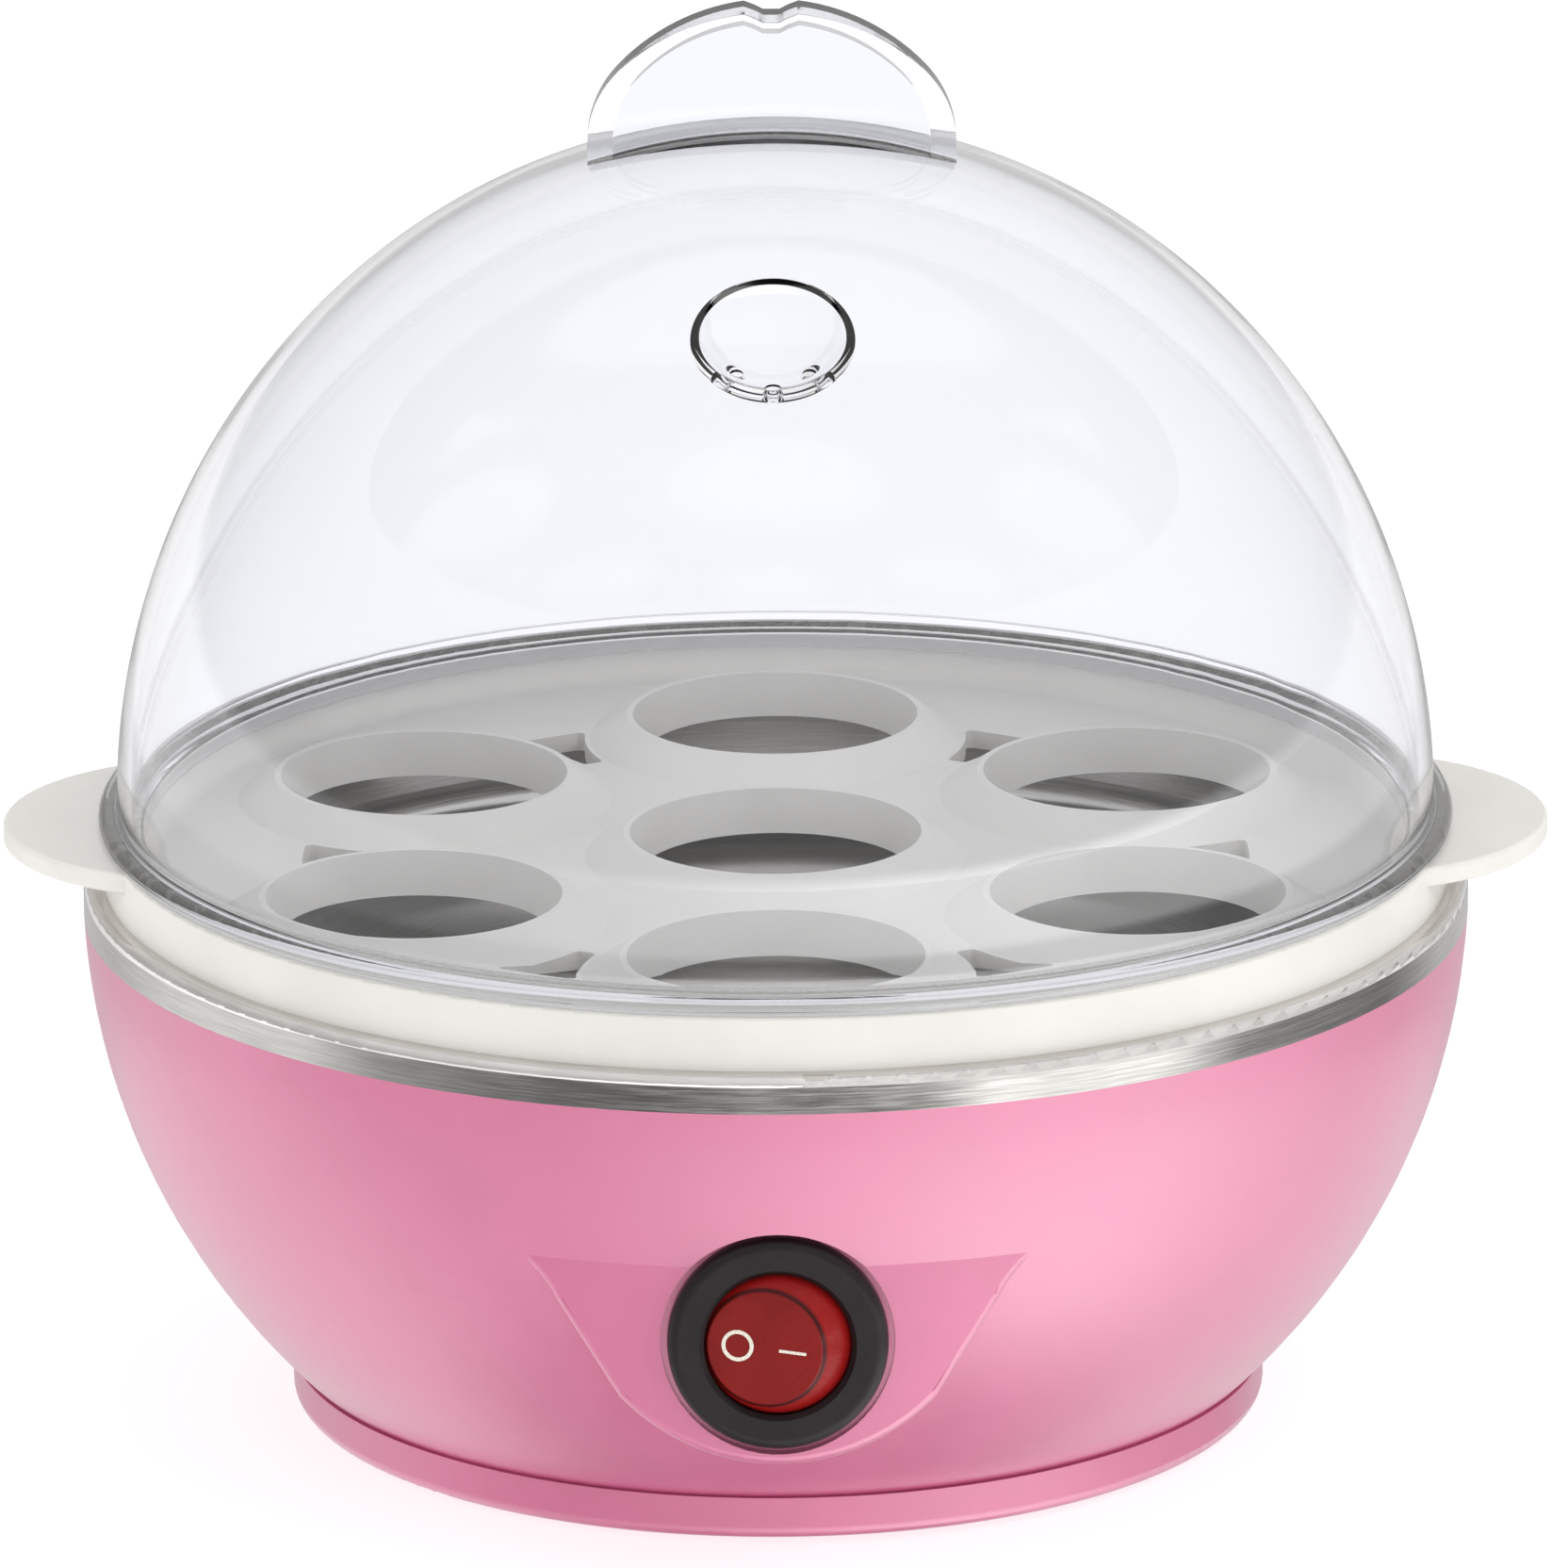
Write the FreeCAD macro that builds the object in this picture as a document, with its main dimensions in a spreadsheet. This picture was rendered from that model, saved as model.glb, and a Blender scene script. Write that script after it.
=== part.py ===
import FreeCAD, Part

import math
import os
import re

import Sketcher

# Electric egg cooker. Millimetres, +Z up, +X to the right, the switch faces -Y.
# The origin is on the surface that the cooker stands on, under the middle of the bowl.

# ---------------------------------------------------------------- driving dimensions

SIZES = {
    # base shell and foot
    "bowl_radius": 74.0,
    "bowl_curve": 73.2,
    "bowl_wall": 2.2,
    "foot_radius": 52.2,
    "foot_gap": 0.6,
    "seam_height": 5.3,
    "seam_step": 0.5,
    "seam_land": 3.2,
    "foot_edge": 1.4,
    # steel pan
    "rim_top": 58.7,
    "band_height": 4.0,
    "pan_sheet": 0.6,
    "pan_depth": 15.7,
    "pan_corner": 7.0,
    "rim_width": 4.6,
    "rim_round": 1.1,
    "seal_height": 0.8,
    "lip_gap": 0.2,
    "lip_wall": 1.9,
    # egg tray
    "tray_setback": 2.1,
    "tray_height": 5.8,
    "tray_edge": 0.4,
    "tray_land": 1.9,
    "tray_slope": 2.3,
    "tray_floor_rise": 1.3,
    "tray_floor": 2.0,
    "skirt_depth": 4.0,
    "skirt_wall": 1.6,
    "skirt_gap": 0.4,
    "ear_radius": 22.7,
    "ear_offset": 59.8,
    "ear_thickness": 2.2,
    "ear_edge": 0.5,
    "seat_circle": 44.0,
    "seat_foot_radius": 20.4,
    "seat_rim_radius": 16.3,
    "seat_hole_radius": 14.5,
    "seat_height": 2.7,
    "seat_lead_in": 1.1,
    "vent_gap": 0.5,
    "vent_inner": 39.5,
    "vent_outer": 50.4,
    "vent_corner": 0.7,
    # lid
    "flange_thickness": 1.8,
    "flange_overlap": 0.4,
    "dome_setback": 1.6,
    "dome_height": 72.6,
    "dome_foot": 0.6,
    "lid_wall": 1.5,
    "collar_depth": 1.3,
    "collar_wall": 1.4,
    "collar_gap": 0.4,
    "fin_half_width": 19.5,
    "fin_height": 14.7,
    "fin_sink": 0.5,
    "fin_thickness": 6.0,
    "fin_end_thickness": 2.4,
    "fin_wall": 1.4,
    "notch_half_width": 2.9,
    "notch_depth": 1.1,
    "cup_angle": 33.0,
    "cup_radius": 9.0,
    "cup_rise": 4.1,
    "cup_hole_radius": 0.9,
    "cup_hole_circle": 4.6,
    # switch
    "switch_height": 28.8,
    "bezel_radius": 11.5,
    "bezel_thickness": 2.2,
    "bezel_round": 1.2,
    "barrel_radius": 9.9,
    "barrel_wall": 0.7,
    "barrel_depth": 14.4,
    "barrel_back": 1.8,
    "barrel_clearance": 0.15,
    "mouth_radius": 7.7,
    "mouth_slope": 0.5,
    "rocker_radius": 9.0,
    "rocker_face": 6.7,
    "rocker_back": 2.0,
    "rocker_shell": 1.4,
    "rocker_tilt": 12.0,
    "pivot_depth": 5.8,
    "trunnion_radius": 1.2,
    "trunnion_gap": 0.05,
    "mark_height": 0.12,
    "mark_turn": 4.0,
    "ring_offset": 2.85,
    "ring_radius": 1.7,
    "ring_line": 0.4,
    "bar_offset": 3.0,
    "bar_half_length": 1.45,
    "bar_width": 0.3,
    "lamp_radius": 1.4,
    "lamp_length": 5.6,
    "plunger_radius": 1.5,
    "plunger_gap": 0.1,
    "plunger_rear": 1.2,
    "spring_wire": 0.44,
    "spring_turns": 4.5,
    "blade_depth": 6.6,
    "blade_tilt": 7.0,
    "blade_half_length": 6.2,
    "blade_half_width": 1.5,
    "blade_thickness": 0.5,
    "blade_roll": 0.5,
    "button_radius": 1.0,
    "button_height": 0.35,
    "tab_spacing": 5.6,
    "tab_thickness": 0.8,
    "tab_width": 4.8,
    "tab_end": 20.0,
    "sleeve_start": 14.0,
    "sleeve_length": 13.0,
    # bib round the switch
    "bib_setback": 3.0,
    "bib_margin": 2.0,
    "bib_round": 23.3,
    "bib_hip": 16.5,
    "bib_edge": 1.0,
    "bib_shoulder_reach": 6.5,
    "bib_shoulder_rise": 10.2,
    "bib_wing_reach": 14.5,
    "bib_wing_rise": 16.4,
    "bib_top_rise": 2.5,
    "spot_margin": 0.7,
    "spot_depth": 1.2,
    "spot_wall": 2.3,
    # fastening of the base
    "boss_circle": 42.0,
    "boss_radius": 3.5,
    "boss_top": 24.0,
    "boss_foot": 5.5,
    "screw_radius": 1.45,
    "screw_head_radius": 2.9,
    "screw_head_height": 1.8,
    "screw_length": 11.0,
    "screw_gap": 0.05,
    "drive_length": 3.2,
    "drive_width": 0.7,
    "drive_depth": 0.9,
    "rib_thickness": 2.0,
    "cover_floor": 2.0,
    "cover_lip_gap": 0.6,
    "cover_lip_wall": 1.6,
    "cover_lip_height": 2.0,
    "foot_pad_radius": 5.0,
    "foot_pad_circle": 43.0,
    "foot_pad_inset": 1.2,
    "slot_width": 2.4,
    "slot_length": 26.0,
    "slot_pitch": 5.0,
    "stud_circle": 56.0,
    "stud_radius": 1.5,
    "stud_end": 25.0,
    "stud_gap": 0.2,
    "ledge_top": 33.0,
    "ledge_thickness": 3.0,
    "ledge_width": 10.0,
    "nut_radius": 3.1,
    "nut_height": 2.4,
    # heating
    "spreader_radius": 46.0,
    "spreader_thickness": 1.5,
    "element_radius": 34.0,
    "element_tube": 3.2,
    "element_gap": 40.0,
    "pin_radius": 1.6,
    "pin_end": 27.0,
    "thermostat_radius": 7.9,
    "thermostat_neck": 6.5,
    "thermostat_height": 6.0,
    "thermostat_cap": 1.2,
    "bracket_half_length": 17.0,
    "bracket_half_width": 8.2,
    "bracket_thickness": 1.0,
    "bracket_stud_offset": 13.0,
    "bracket_stud_length": 9.0,
    "terminal_offset": 4.0,
    "terminal_drop": 8.0,
    "fuse_start": 10.0,
    "fuse_length": 12.0,
    "fuse_level": 14.0,
    "fuse_radius": 2.0,
    "fuse_sleeve_radius": 3.0,
    "fuse_sleeve_length": 16.0,
    "lead_radius": 1.2,
    "tag_thickness": 0.8,
    "tag_length": 8.0,
    # mains inlet
    "gland_height": 24.0,
    "gland_bore": 3.1,
    "gland_neck": 4.9,
    "gland_clearance": 0.1,
    "gland_flange": 7.5,
    "gland_flange_thickness": 2.2,
    "gland_seat": 67.5,
    "gland_collar_radius": 9.0,
    "gland_collar_length": 8.5,
    "block_back": 44.0,
    "block_front": 33.0,
    "block_half_length": 12.0,
    "block_height": 11.0,
    "pole_pitch": 8.0,
}

doc = FreeCAD.newDocument("EggCooker")
sheet = doc.addObject("Spreadsheet::Sheet", "Sizes")
for row, (alias, value) in enumerate(SIZES.items(), start=1):
    sheet.set(f"A{row}", alias)
    sheet.set(f"B{row}", str(value))
    sheet.setAlias(f"B{row}", alias)
doc.recompute()


def bound(formula):
    """The formula with every size named as a cell of the sheet."""
    return re.sub(r"[a-z]\w*", lambda word: ("Sizes." if word[0] in SIZES else "") + word[0], str(formula))


def size(formula):
    """The formula's value."""
    return float(sheet.evalExpression(str(formula)))


# ---------------------------------------------------------------- shared levels, as formulas

BAND_BOTTOM = "(rim_top - band_height)"
LIP_TOP = "(rim_top - pan_sheet - seal_height)"
PAN_RADIUS = "(bowl_radius - rim_width)"
PAN_UNDER = "(rim_top - pan_depth - pan_sheet)"
SPREADER_UNDER = f"({PAN_UNDER} - spreader_thickness)"
ELEMENT_LEVEL = f"({SPREADER_UNDER} - element_tube)"
TRAY_RADIUS = "(bowl_radius - tray_setback)"
TRAY_TOP = "(rim_top + tray_height)"
TRAY_FLOOR = "(rim_top + tray_floor_rise)"
WELL_TOP = f"({TRAY_RADIUS} - tray_land)"
WELL_FLOOR = f"({WELL_TOP} - tray_slope)"
SKIRT_RADIUS = f"({PAN_RADIUS} - skirt_gap)"
DOME_RADIUS = f"({TRAY_RADIUS} - dome_setback)"
EQUATOR = f"({TRAY_TOP} + flange_thickness + dome_foot)"
APEX = f"({EQUATOR} + dome_height)"
BIB_RADIUS = "(bowl_radius - bib_setback)"
BIB_BOTTOM = "(switch_height - bezel_radius - bib_margin)"
SPOT_FACE = f"({BIB_RADIUS} - spot_depth)"
PIVOT = f"({SPOT_FACE} + bezel_thickness - pivot_depth)"
SEAM_RADIUS = "(foot_radius - seam_step)"
COVER_TOP = "(foot_gap + cover_floor)"

X_AXIS = FreeCAD.Vector(1, 0, 0)
Y_AXIS = FreeCAD.Vector(0, 1, 0)
Z_AXIS = FreeCAD.Vector(0, 0, 1)
STANDING = {"z": (Z_AXIS, 0), "y": (X_AXIS, -90), "x": (Y_AXIS, 90)}
UPRIGHT_SKETCH = FreeCAD.Rotation(X_AXIS, 90)

# ---------------------------------------------------------------- small modelling helpers


def bind(thing, **formulas):
    """Binds properties to formulas of the sheet's sizes."""
    for name, formula in formulas.items():
        thing.setExpression(name, bound(formula))
    return thing


def place(thing, at, turn=None):
    """Binds a position, and a turn given as (axis, formula in degrees)."""
    if turn:
        thing.Placement = FreeCAD.Placement(FreeCAD.Vector(), FreeCAD.Rotation(turn[0], 1))
        thing.setExpression("Placement.Rotation.Angle", bound(turn[1]))
    for axis, formula in zip("xyz", at):
        thing.setExpression(f"Placement.Base.{axis}", bound(formula))
    return thing


def cylinder(radius, height, at, along="z"):
    """A cylinder that starts at a point and runs along +X, +Y or +Z."""
    rod = bind(doc.addObject("Part::Cylinder", "Rod"), Radius=radius, Height=height)
    rod.Placement = FreeCAD.Placement(FreeCAD.Vector(), FreeCAD.Rotation(*STANDING[along]))
    return place(rod, at)


def cone(lower_radius, upper_radius, height, at):
    taper = doc.addObject("Part::Cone", "Taper")
    return place(bind(taper, Radius1=lower_radius, Radius2=upper_radius, Height=height), at)


def sphere(radius, at):
    return place(bind(doc.addObject("Part::Sphere", "Ball"), Radius=radius), at)


def box(low, high):
    """A box between two corners."""
    block = doc.addObject("Part::Box", "Block")
    lengths = [f"({high[i]}) - ({low[i]})" for i in range(3)]
    return place(bind(block, Length=lengths[0], Width=lengths[1], Height=lengths[2]), low)


def fuse(*pieces):
    joined = doc.addObject("Part::MultiFuse", "Joined")
    joined.Shapes = list(pieces)
    return joined


def common(first, second):
    shared = doc.addObject("Part::Common", "Shared")
    shared.Base = first
    shared.Tool = second
    return shared


def cut(base, *tools):
    rest = doc.addObject("Part::Cut", "Rest")
    rest.Base = base
    rest.Tool = tools[0] if len(tools) == 1 else fuse(*tools)
    return rest


def group(pieces):
    """Separate solids that share one node."""
    together = doc.addObject("Part::Compound", "Group")
    together.Links = list(pieces)
    return together


def on_circle(radius, angle):
    """The x and y formulas of a point on a circle about the Z axis."""
    return f"({radius}) * cos({angle})", f"({radius}) * sin({angle})"


def arc_geometry(start, end, radius, turn):
    """The minor arc from start to end, counter-clockwise when turn is +1."""
    chord = end - start
    middle = (start + end) * 0.5
    left = FreeCAD.Vector(-chord.y, chord.x, 0) * (1 / chord.Length)
    reach = math.sqrt(max(radius ** 2 - (chord.Length / 2) ** 2, 0))
    centre = middle + left * (reach * turn)
    first, last = (start, end) if turn > 0 else (end, start)
    angles = [math.atan2(spot.y - centre.y, spot.x - centre.x) for spot in (first, last)]
    if angles[1] <= angles[0]:
        angles[1] += 2 * math.pi
    return Part.ArcOfCircle(Part.Circle(centre, Z_AXIS, radius), *angles)


def draw(sketch, corners):
    """A closed outline through corners (x, y). A corner (x, y, radius, turn) starts an arc."""
    spots = [FreeCAD.Vector(size(corner[0]), size(corner[1]), 0) for corner in corners]
    ends = []
    for index, corner in enumerate(corners):
        start, end = spots[index], spots[(index + 1) % len(spots)]
        if len(corner) == 2:
            edge = sketch.addGeometry(Part.LineSegment(start, end))
            ends.append((edge, 1, 2))
        else:
            edge = sketch.addGeometry(arc_geometry(start, end, size(corner[2]), corner[3]))
            ends.append((edge, 1, 2) if corner[3] > 0 else (edge, 2, 1))
    for index, corner in enumerate(corners):
        edge, start, _ = ends[index]
        previous, _, finish = ends[index - 1]
        sketch.addConstraint(Sketcher.Constraint("Coincident", previous, finish, edge, start))
        for kind, formula in (("DistanceX", corner[0]), ("DistanceY", corner[1])):
            distance = Sketcher.Constraint(kind, -1, 1, edge, start, size(formula))
            number = sketch.addConstraint(distance)
            sketch.setExpression(f"Constraints[{number}]", bound(formula))
        if len(corner) > 2:
            number = sketch.addConstraint(Sketcher.Constraint("Radius", edge, size(corner[2])))
            sketch.setExpression(f"Constraints[{number}]", bound(corner[2]))
    return sketch


def upright_outline(corners):
    """A free sketch in the XZ plane: local x is X, local y is Z, and it looks along +Y."""
    sketch = doc.addObject("Sketcher::SketchObject", "Outline")
    sketch.Placement = FreeCAD.Placement(FreeCAD.Vector(), UPRIGHT_SKETCH)
    return draw(sketch, corners)


def flat_outline(corners):
    """A free sketch in the XY plane."""
    return draw(doc.addObject("Sketcher::SketchObject", "Outline"), corners)


def turned(corners):
    """A solid of revolution about Z, from an outline of (radius, height) corners."""
    ring = doc.addObject("Part::Revolution", "Turned")
    ring.Source = upright_outline(corners)
    ring.Axis = Z_AXIS
    ring.Angle = 360
    ring.Solid = True
    return ring


def extruded(sketch, direction, forward, backward="0"):
    prism = doc.addObject("Part::Extrusion", "Prism")
    prism.Base = sketch
    prism.DirMode = "Custom"
    prism.Dir = direction
    prism.Solid = True
    return bind(prism, LengthFwd=forward, LengthRev=backward)


def new_body(name):
    return doc.addObject("PartDesign::Body", name)


def origin_part(body, role):
    return next(part for part in body.Origin.OriginFeatures if part.Role == role)


def body_sketch(body, plane, corners, level="0"):
    """An outline in a body's own origin plane, moved along the plane's normal to a level."""
    sketch = body.newObject("Sketcher::SketchObject", "Outline")
    sketch.AttachmentSupport = [(origin_part(body, plane), "")]
    sketch.MapMode = "FlatFace"
    sketch.setExpression("AttachmentOffset.Base.z", bound(level))
    return draw(sketch, corners)


def revolve(body, corners, kind="PartDesign::Revolution", axis=None):
    """Turns an outline of (x, height) corners about the body's Z axis, or an upright line at x = axis."""
    ring = body.newObject(kind, "Ring")
    sketch = body_sketch(body, "XZ_Plane", corners)
    if axis:
        foot = FreeCAD.Vector(size(axis), 0, 0)
        line = sketch.addGeometry(Part.LineSegment(foot, foot + Y_AXIS), True)
        for kind_of_size, end, value in (("DistanceX", 1, axis), ("DistanceX", 2, axis),
                                         ("DistanceY", 1, "0"), ("DistanceY", 2, "1")):
            number = sketch.addConstraint(Sketcher.Constraint(kind_of_size, -1, 1, line, end, size(value)))
            sketch.setExpression(f"Constraints[{number}]", bound(value))
    ring.Profile = sketch
    ring.ReferenceAxis = (sketch, ["Axis0" if axis else "V_Axis"])
    ring.Angle = 360
    return ring


def polar(body, features, count):
    """Repeats features about the body's Z axis."""
    pattern = body.newObject("PartDesign::PolarPattern", "Repeat")
    pattern.Originals = features
    pattern.Axis = (origin_part(body, "Z_Axis"), [""])
    pattern.Angle = 360
    pattern.Occurrences = count
    body.Tip = pattern
    return pattern


def circle_sketch(body, x, y, radius, level, plane="XY_Plane"):
    sketch = body.newObject("Sketcher::SketchObject", "Circle")
    sketch.AttachmentSupport = [(origin_part(body, plane), "")]
    sketch.MapMode = "FlatFace"
    sketch.setExpression("AttachmentOffset.Base.z", bound(level))
    centre = FreeCAD.Vector(size(x), size(y), 0)
    sketch.addGeometry(Part.Circle(centre, Z_AXIS, size(radius)))
    for kind, formula in (("DistanceX", x), ("DistanceY", y)):
        number = sketch.addConstraint(Sketcher.Constraint(kind, -1, 1, 0, 3, size(formula)))
        sketch.setExpression(f"Constraints[{number}]", bound(formula))
    number = sketch.addConstraint(Sketcher.Constraint("Radius", 0, size(radius)))
    sketch.setExpression(f"Constraints[{number}]", bound(radius))
    return sketch


def pad(body, sketch, length):
    return bind_profile(body.newObject("PartDesign::Pad", "Pad"), sketch, length)


def pocket(body, sketch, length):
    return bind_profile(body.newObject("PartDesign::Pocket", "Pocket"), sketch, length)


def bind_profile(feature, sketch, length):
    feature.Profile = sketch
    return bind(feature, Length=length)


def edges_where(shape, wanted):
    """Names of the edges whose points all meet a test."""
    names = []
    for number, edge in enumerate(shape.Edges, start=1):
        steps = [edge.FirstParameter + (edge.LastParameter - edge.FirstParameter) * k / 4 for k in range(5)]
        if all(wanted(edge.valueAt(step)) for step in steps):
            names.append(f"Edge{number}")
    return names


def rounded(body, radius, wanted):
    """A fillet on the edges of the body's last feature that meet a test."""
    doc.recompute()
    last = body.Tip
    fillet = body.newObject("PartDesign::Fillet", "Round")
    fillet.Base = (last, edges_where(last.Shape, wanted))
    return bind(fillet, Radius=radius)


def near(value, target, slack=0.02):
    return abs(value - target) < slack


def oval_quarter(half_width, height):
    """Radii of the side arc and the top arc of a round-shouldered arch, which meet at 45 degrees."""
    spread = f"((({height}) - ({half_width})) / (sin(45) + cos(45) - 1))"
    side = f"(({half_width}) + {spread} * sin(45))"
    return side, f"({side} - {spread})"


def lead_path(points, bend_share=0.45):
    """Straight runs joined by tangent arcs."""
    edges = []
    start = points[0]
    for before, corner, after in zip(points, points[1:], points[2:]):
        into, away = (corner - before).normalize(), (after - corner).normalize()
        half_turn = into.getAngle(away) / 2
        reach = bend_share * min((corner - before).Length, (after - corner).Length)
        radius = reach / math.tan(half_turn)
        enter, leave = corner - into * reach, corner + away * reach
        inward = (away - into).normalize()
        top = corner + inward * (radius / math.cos(half_turn) - radius)
        edges.append(Part.LineSegment(start, enter).toShape())
        edges.append(Part.Arc(enter, top, leave).toShape())
        start = leave
    edges.append(Part.LineSegment(start, points[-1]).toShape())
    return Part.Wire(edges)


def lead(*route):
    """An insulated wire along a route of (x, y, z) formulas."""
    points = [FreeCAD.Vector(*(size(formula) for formula in spot)) for spot in route]
    path = lead_path(points)
    first_way = (points[1] - points[0]).normalize()
    section = Part.Wire([Part.Circle(points[0], first_way, size("lead_radius")).toShape()])
    wire = doc.addObject("Part::Feature", "Wire")
    wire.Shape = path.makePipeShell([section], True, True)
    return wire


nodes = {}


def keep(name, thing):
    """Gives a finished sub-part its name."""
    thing.Label = name
    nodes[name] = thing
    return thing


# ---------------------------------------------------------------- base: plastic parts

SCREW_ANGLES = (45, 135, 225, 315)
STUD_ANGLES = (0, 120, 240)


def bowl_solid():
    """The bowl's outside, filled, with the narrower lip that the pan's band wraps."""
    lip = "(bowl_radius - pan_sheet - lip_gap)"
    return turned([
        ("0", "seam_height"),
        (SEAM_RADIUS, "seam_height", "bowl_curve", 1),
        ("bowl_radius", BAND_BOTTOM),
        (lip, BAND_BOTTOM),
        (lip, LIP_TOP),
        ("0", LIP_TOP),
    ])


def bowl_hollow():
    lip = "(bowl_radius - pan_sheet - lip_gap - lip_wall)"
    inner_curve = "(bowl_curve - bowl_wall)"
    return turned([
        ("0", "seam_height - 1"),
        (f"{SEAM_RADIUS} - seam_land", "seam_height - 1"),
        (f"{SEAM_RADIUS} - seam_land", "seam_height", inner_curve, 1),
        ("bowl_radius - bowl_wall - lip_gap", BAND_BOTTOM),
        (lip, f"{BAND_BOTTOM} + 1"),
        (lip, f"{LIP_TOP} + 1"),
        ("0", f"{LIP_TOP} + 1"),
    ])


def bib_block(inset, wall):
    """The bib: an upright round wall inside a shield-shaped outline, smaller by an inset."""
    hip = f"(bib_hip - {inset})"
    belly = f"(bib_round - {inset})"
    bottom = f"({BIB_BOTTOM} + {inset})"
    hip_height = f"({bottom} + {belly} - sqrt({belly} * {belly} - {hip} * {hip}))"
    shoulder, shoulder_height = f"({hip} + bib_shoulder_reach)", f"({hip_height} + bib_shoulder_rise)"
    wing, wing_height = f"({hip} + bib_wing_reach)", f"({hip_height} + bib_wing_rise)"
    top = f"({wing_height} + bib_top_rise)"
    outline = upright_outline([
        (f"-{hip}", hip_height, belly, 1),
        (hip, hip_height),
        (shoulder, shoulder_height, "bib_round / 2", -1),
        (wing, wing_height),
        (wing, top),
        (f"-{wing}", top),
        (f"-{wing}", wing_height, "bib_round / 2", -1),
        (f"-{shoulder}", shoulder_height),
    ])
    prism = extruded(outline, FreeCAD.Vector(0, -1, 0), "bowl_radius")
    drum = cylinder(f"{BIB_RADIUS} - {wall}", "bowl_radius", ("0", "0", "0"))
    return common(drum, prism)


def rounded_bib():
    """The bib's outside, with a soft edge all round its front wall."""
    block = bib_block("0", "0")
    doc.recompute()
    front = size(BIB_RADIUS)
    rim = edges_where(block.Shape, lambda p: near(math.hypot(p.x, p.y), front) and p.y < 0)
    soft = doc.addObject("Part::Fillet", "Soft")
    soft.Base = block
    soft.Edges = [(int(name[4:]), size("bib_edge"), size("bib_edge")) for name in rim]
    return soft


def base_shell():
    outside = fuse(bowl_solid(), rounded_bib())
    shell = cut(outside, bowl_hollow(), bib_block("bowl_wall", "bowl_wall"))

    inside = []
    for angle in SCREW_ANGLES:
        x, y = on_circle("boss_circle", angle)
        inside.append(cylinder("boss_radius", "boss_top - boss_foot", (x, y, "boss_foot")))
        rib = box(("boss_circle", "-rib_thickness / 2", "seam_height + cover_lip_height + 1"),
                  ("bowl_radius", "rib_thickness / 2", "boss_top"))
        inside.append(turn_about_z(rib, angle))
    for angle in STUD_ANGLES:
        ledge = box(("stud_circle - ledge_width / 2", "-ledge_width / 2", "ledge_top - ledge_thickness"),
                    ("bowl_radius", "ledge_width / 2", "ledge_top"))
        inside.append(turn_about_z(ledge, angle))
    inside.append(cylinder("bezel_radius + spot_margin", "spot_wall",
                           ("0", f"-{SPOT_FACE}", "switch_height"), "y"))
    webs = common(fuse(*inside), outside)
    collar = cylinder("gland_collar_radius", "gland_collar_length",
                      ("0", "gland_seat - gland_collar_length", "gland_height"), "y")

    cuts = [
        cylinder("bezel_radius + spot_margin", "bib_setback + spot_depth",
                 ("0", f"-({SPOT_FACE} + bib_setback + spot_depth)", "switch_height"), "y"),
        cylinder("barrel_radius + barrel_clearance", "2 * spot_wall",
                 ("0", f"-{SPOT_FACE} - spot_wall / 2", "switch_height"), "y"),
        cylinder("gland_collar_radius - 1", "bowl_radius - gland_seat + 1",
                 ("0", "gland_seat", "gland_height"), "y"),
        cylinder("gland_neck + gland_clearance", "2 * gland_collar_length",
                 ("0", "gland_seat - 1.5 * gland_collar_length", "gland_height"), "y"),
    ]
    for angle in SCREW_ANGLES:
        x, y = on_circle("boss_circle", angle)
        cuts.append(cylinder("screw_radius + screw_gap", "screw_length + 2", (x, y, "boss_foot - 1")))
    for angle in STUD_ANGLES:
        x, y = on_circle("stud_circle", angle)
        cuts.append(cylinder("stud_radius + stud_gap", "2 * ledge_thickness",
                             (x, y, "ledge_top - 1.5 * ledge_thickness")))
    return cut(fuse(shell, webs, collar), *cuts)


def turn_about_z(piece, angle):
    """A compound of one piece, turned about the Z axis."""
    holder = group([piece])
    holder.Placement = FreeCAD.Placement(FreeCAD.Vector(), FreeCAD.Rotation(Z_AXIS, angle))
    return holder


def bottom_cover():
    """A shallow dish: floor, visible foot ring, and a lip that centres it in the bowl."""
    body = new_body("bottom_cover")
    lip = f"({SEAM_RADIUS} - seam_land - cover_lip_gap)"
    revolve(body, [
        ("0", "foot_gap"),
        ("foot_radius - foot_edge", "foot_gap", "foot_edge", 1),
        ("foot_radius", "foot_gap + foot_edge"),
        ("foot_radius", "seam_height"),
        (lip, "seam_height"),
        (lip, "seam_height + cover_lip_height"),
        (f"{lip} - cover_lip_wall", "seam_height + cover_lip_height"),
        (f"{lip} - cover_lip_wall", COVER_TOP),
        ("0", COVER_TOP),
    ])
    x, y = on_circle("boss_circle", SCREW_ANGLES[0])
    post = pad(body, circle_sketch(body, x, y, "boss_radius + 1", "foot_gap + 0.5"),
               "boss_foot - foot_gap - 0.5")
    bore = pocket(body, circle_sketch(body, x, y, "screw_radius + 0.25", "boss_foot + 1"), "boss_foot + 2")
    seat_level = "(foot_gap + screw_head_height + 0.6)"
    sink = pocket(body, circle_sketch(body, x, y, "screw_head_radius + 0.3", seat_level), "boss_foot + 2")
    polar(body, [post, bore, sink], len(SCREW_ANGLES))
    recess = pocket(body, circle_sketch(body, "foot_pad_circle", "0", "foot_pad_radius",
                                        "foot_gap + foot_pad_inset"), "foot_gap + foot_pad_inset")
    polar(body, [recess], 4)
    half = "slot_length / 2"
    for number in range(-2, 3):
        low, high = f"{number} * slot_pitch - slot_width / 2", f"{number} * slot_pitch + slot_width / 2"
        slot = body_sketch(body, "XY_Plane", [
            (low, f"-{half}"),
            (high, f"-{half}"),
            (high, half),
            (low, half),
        ], f"{COVER_TOP} + 1")
        pocket(body, slot, "cover_floor + 2")
    return body


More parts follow.
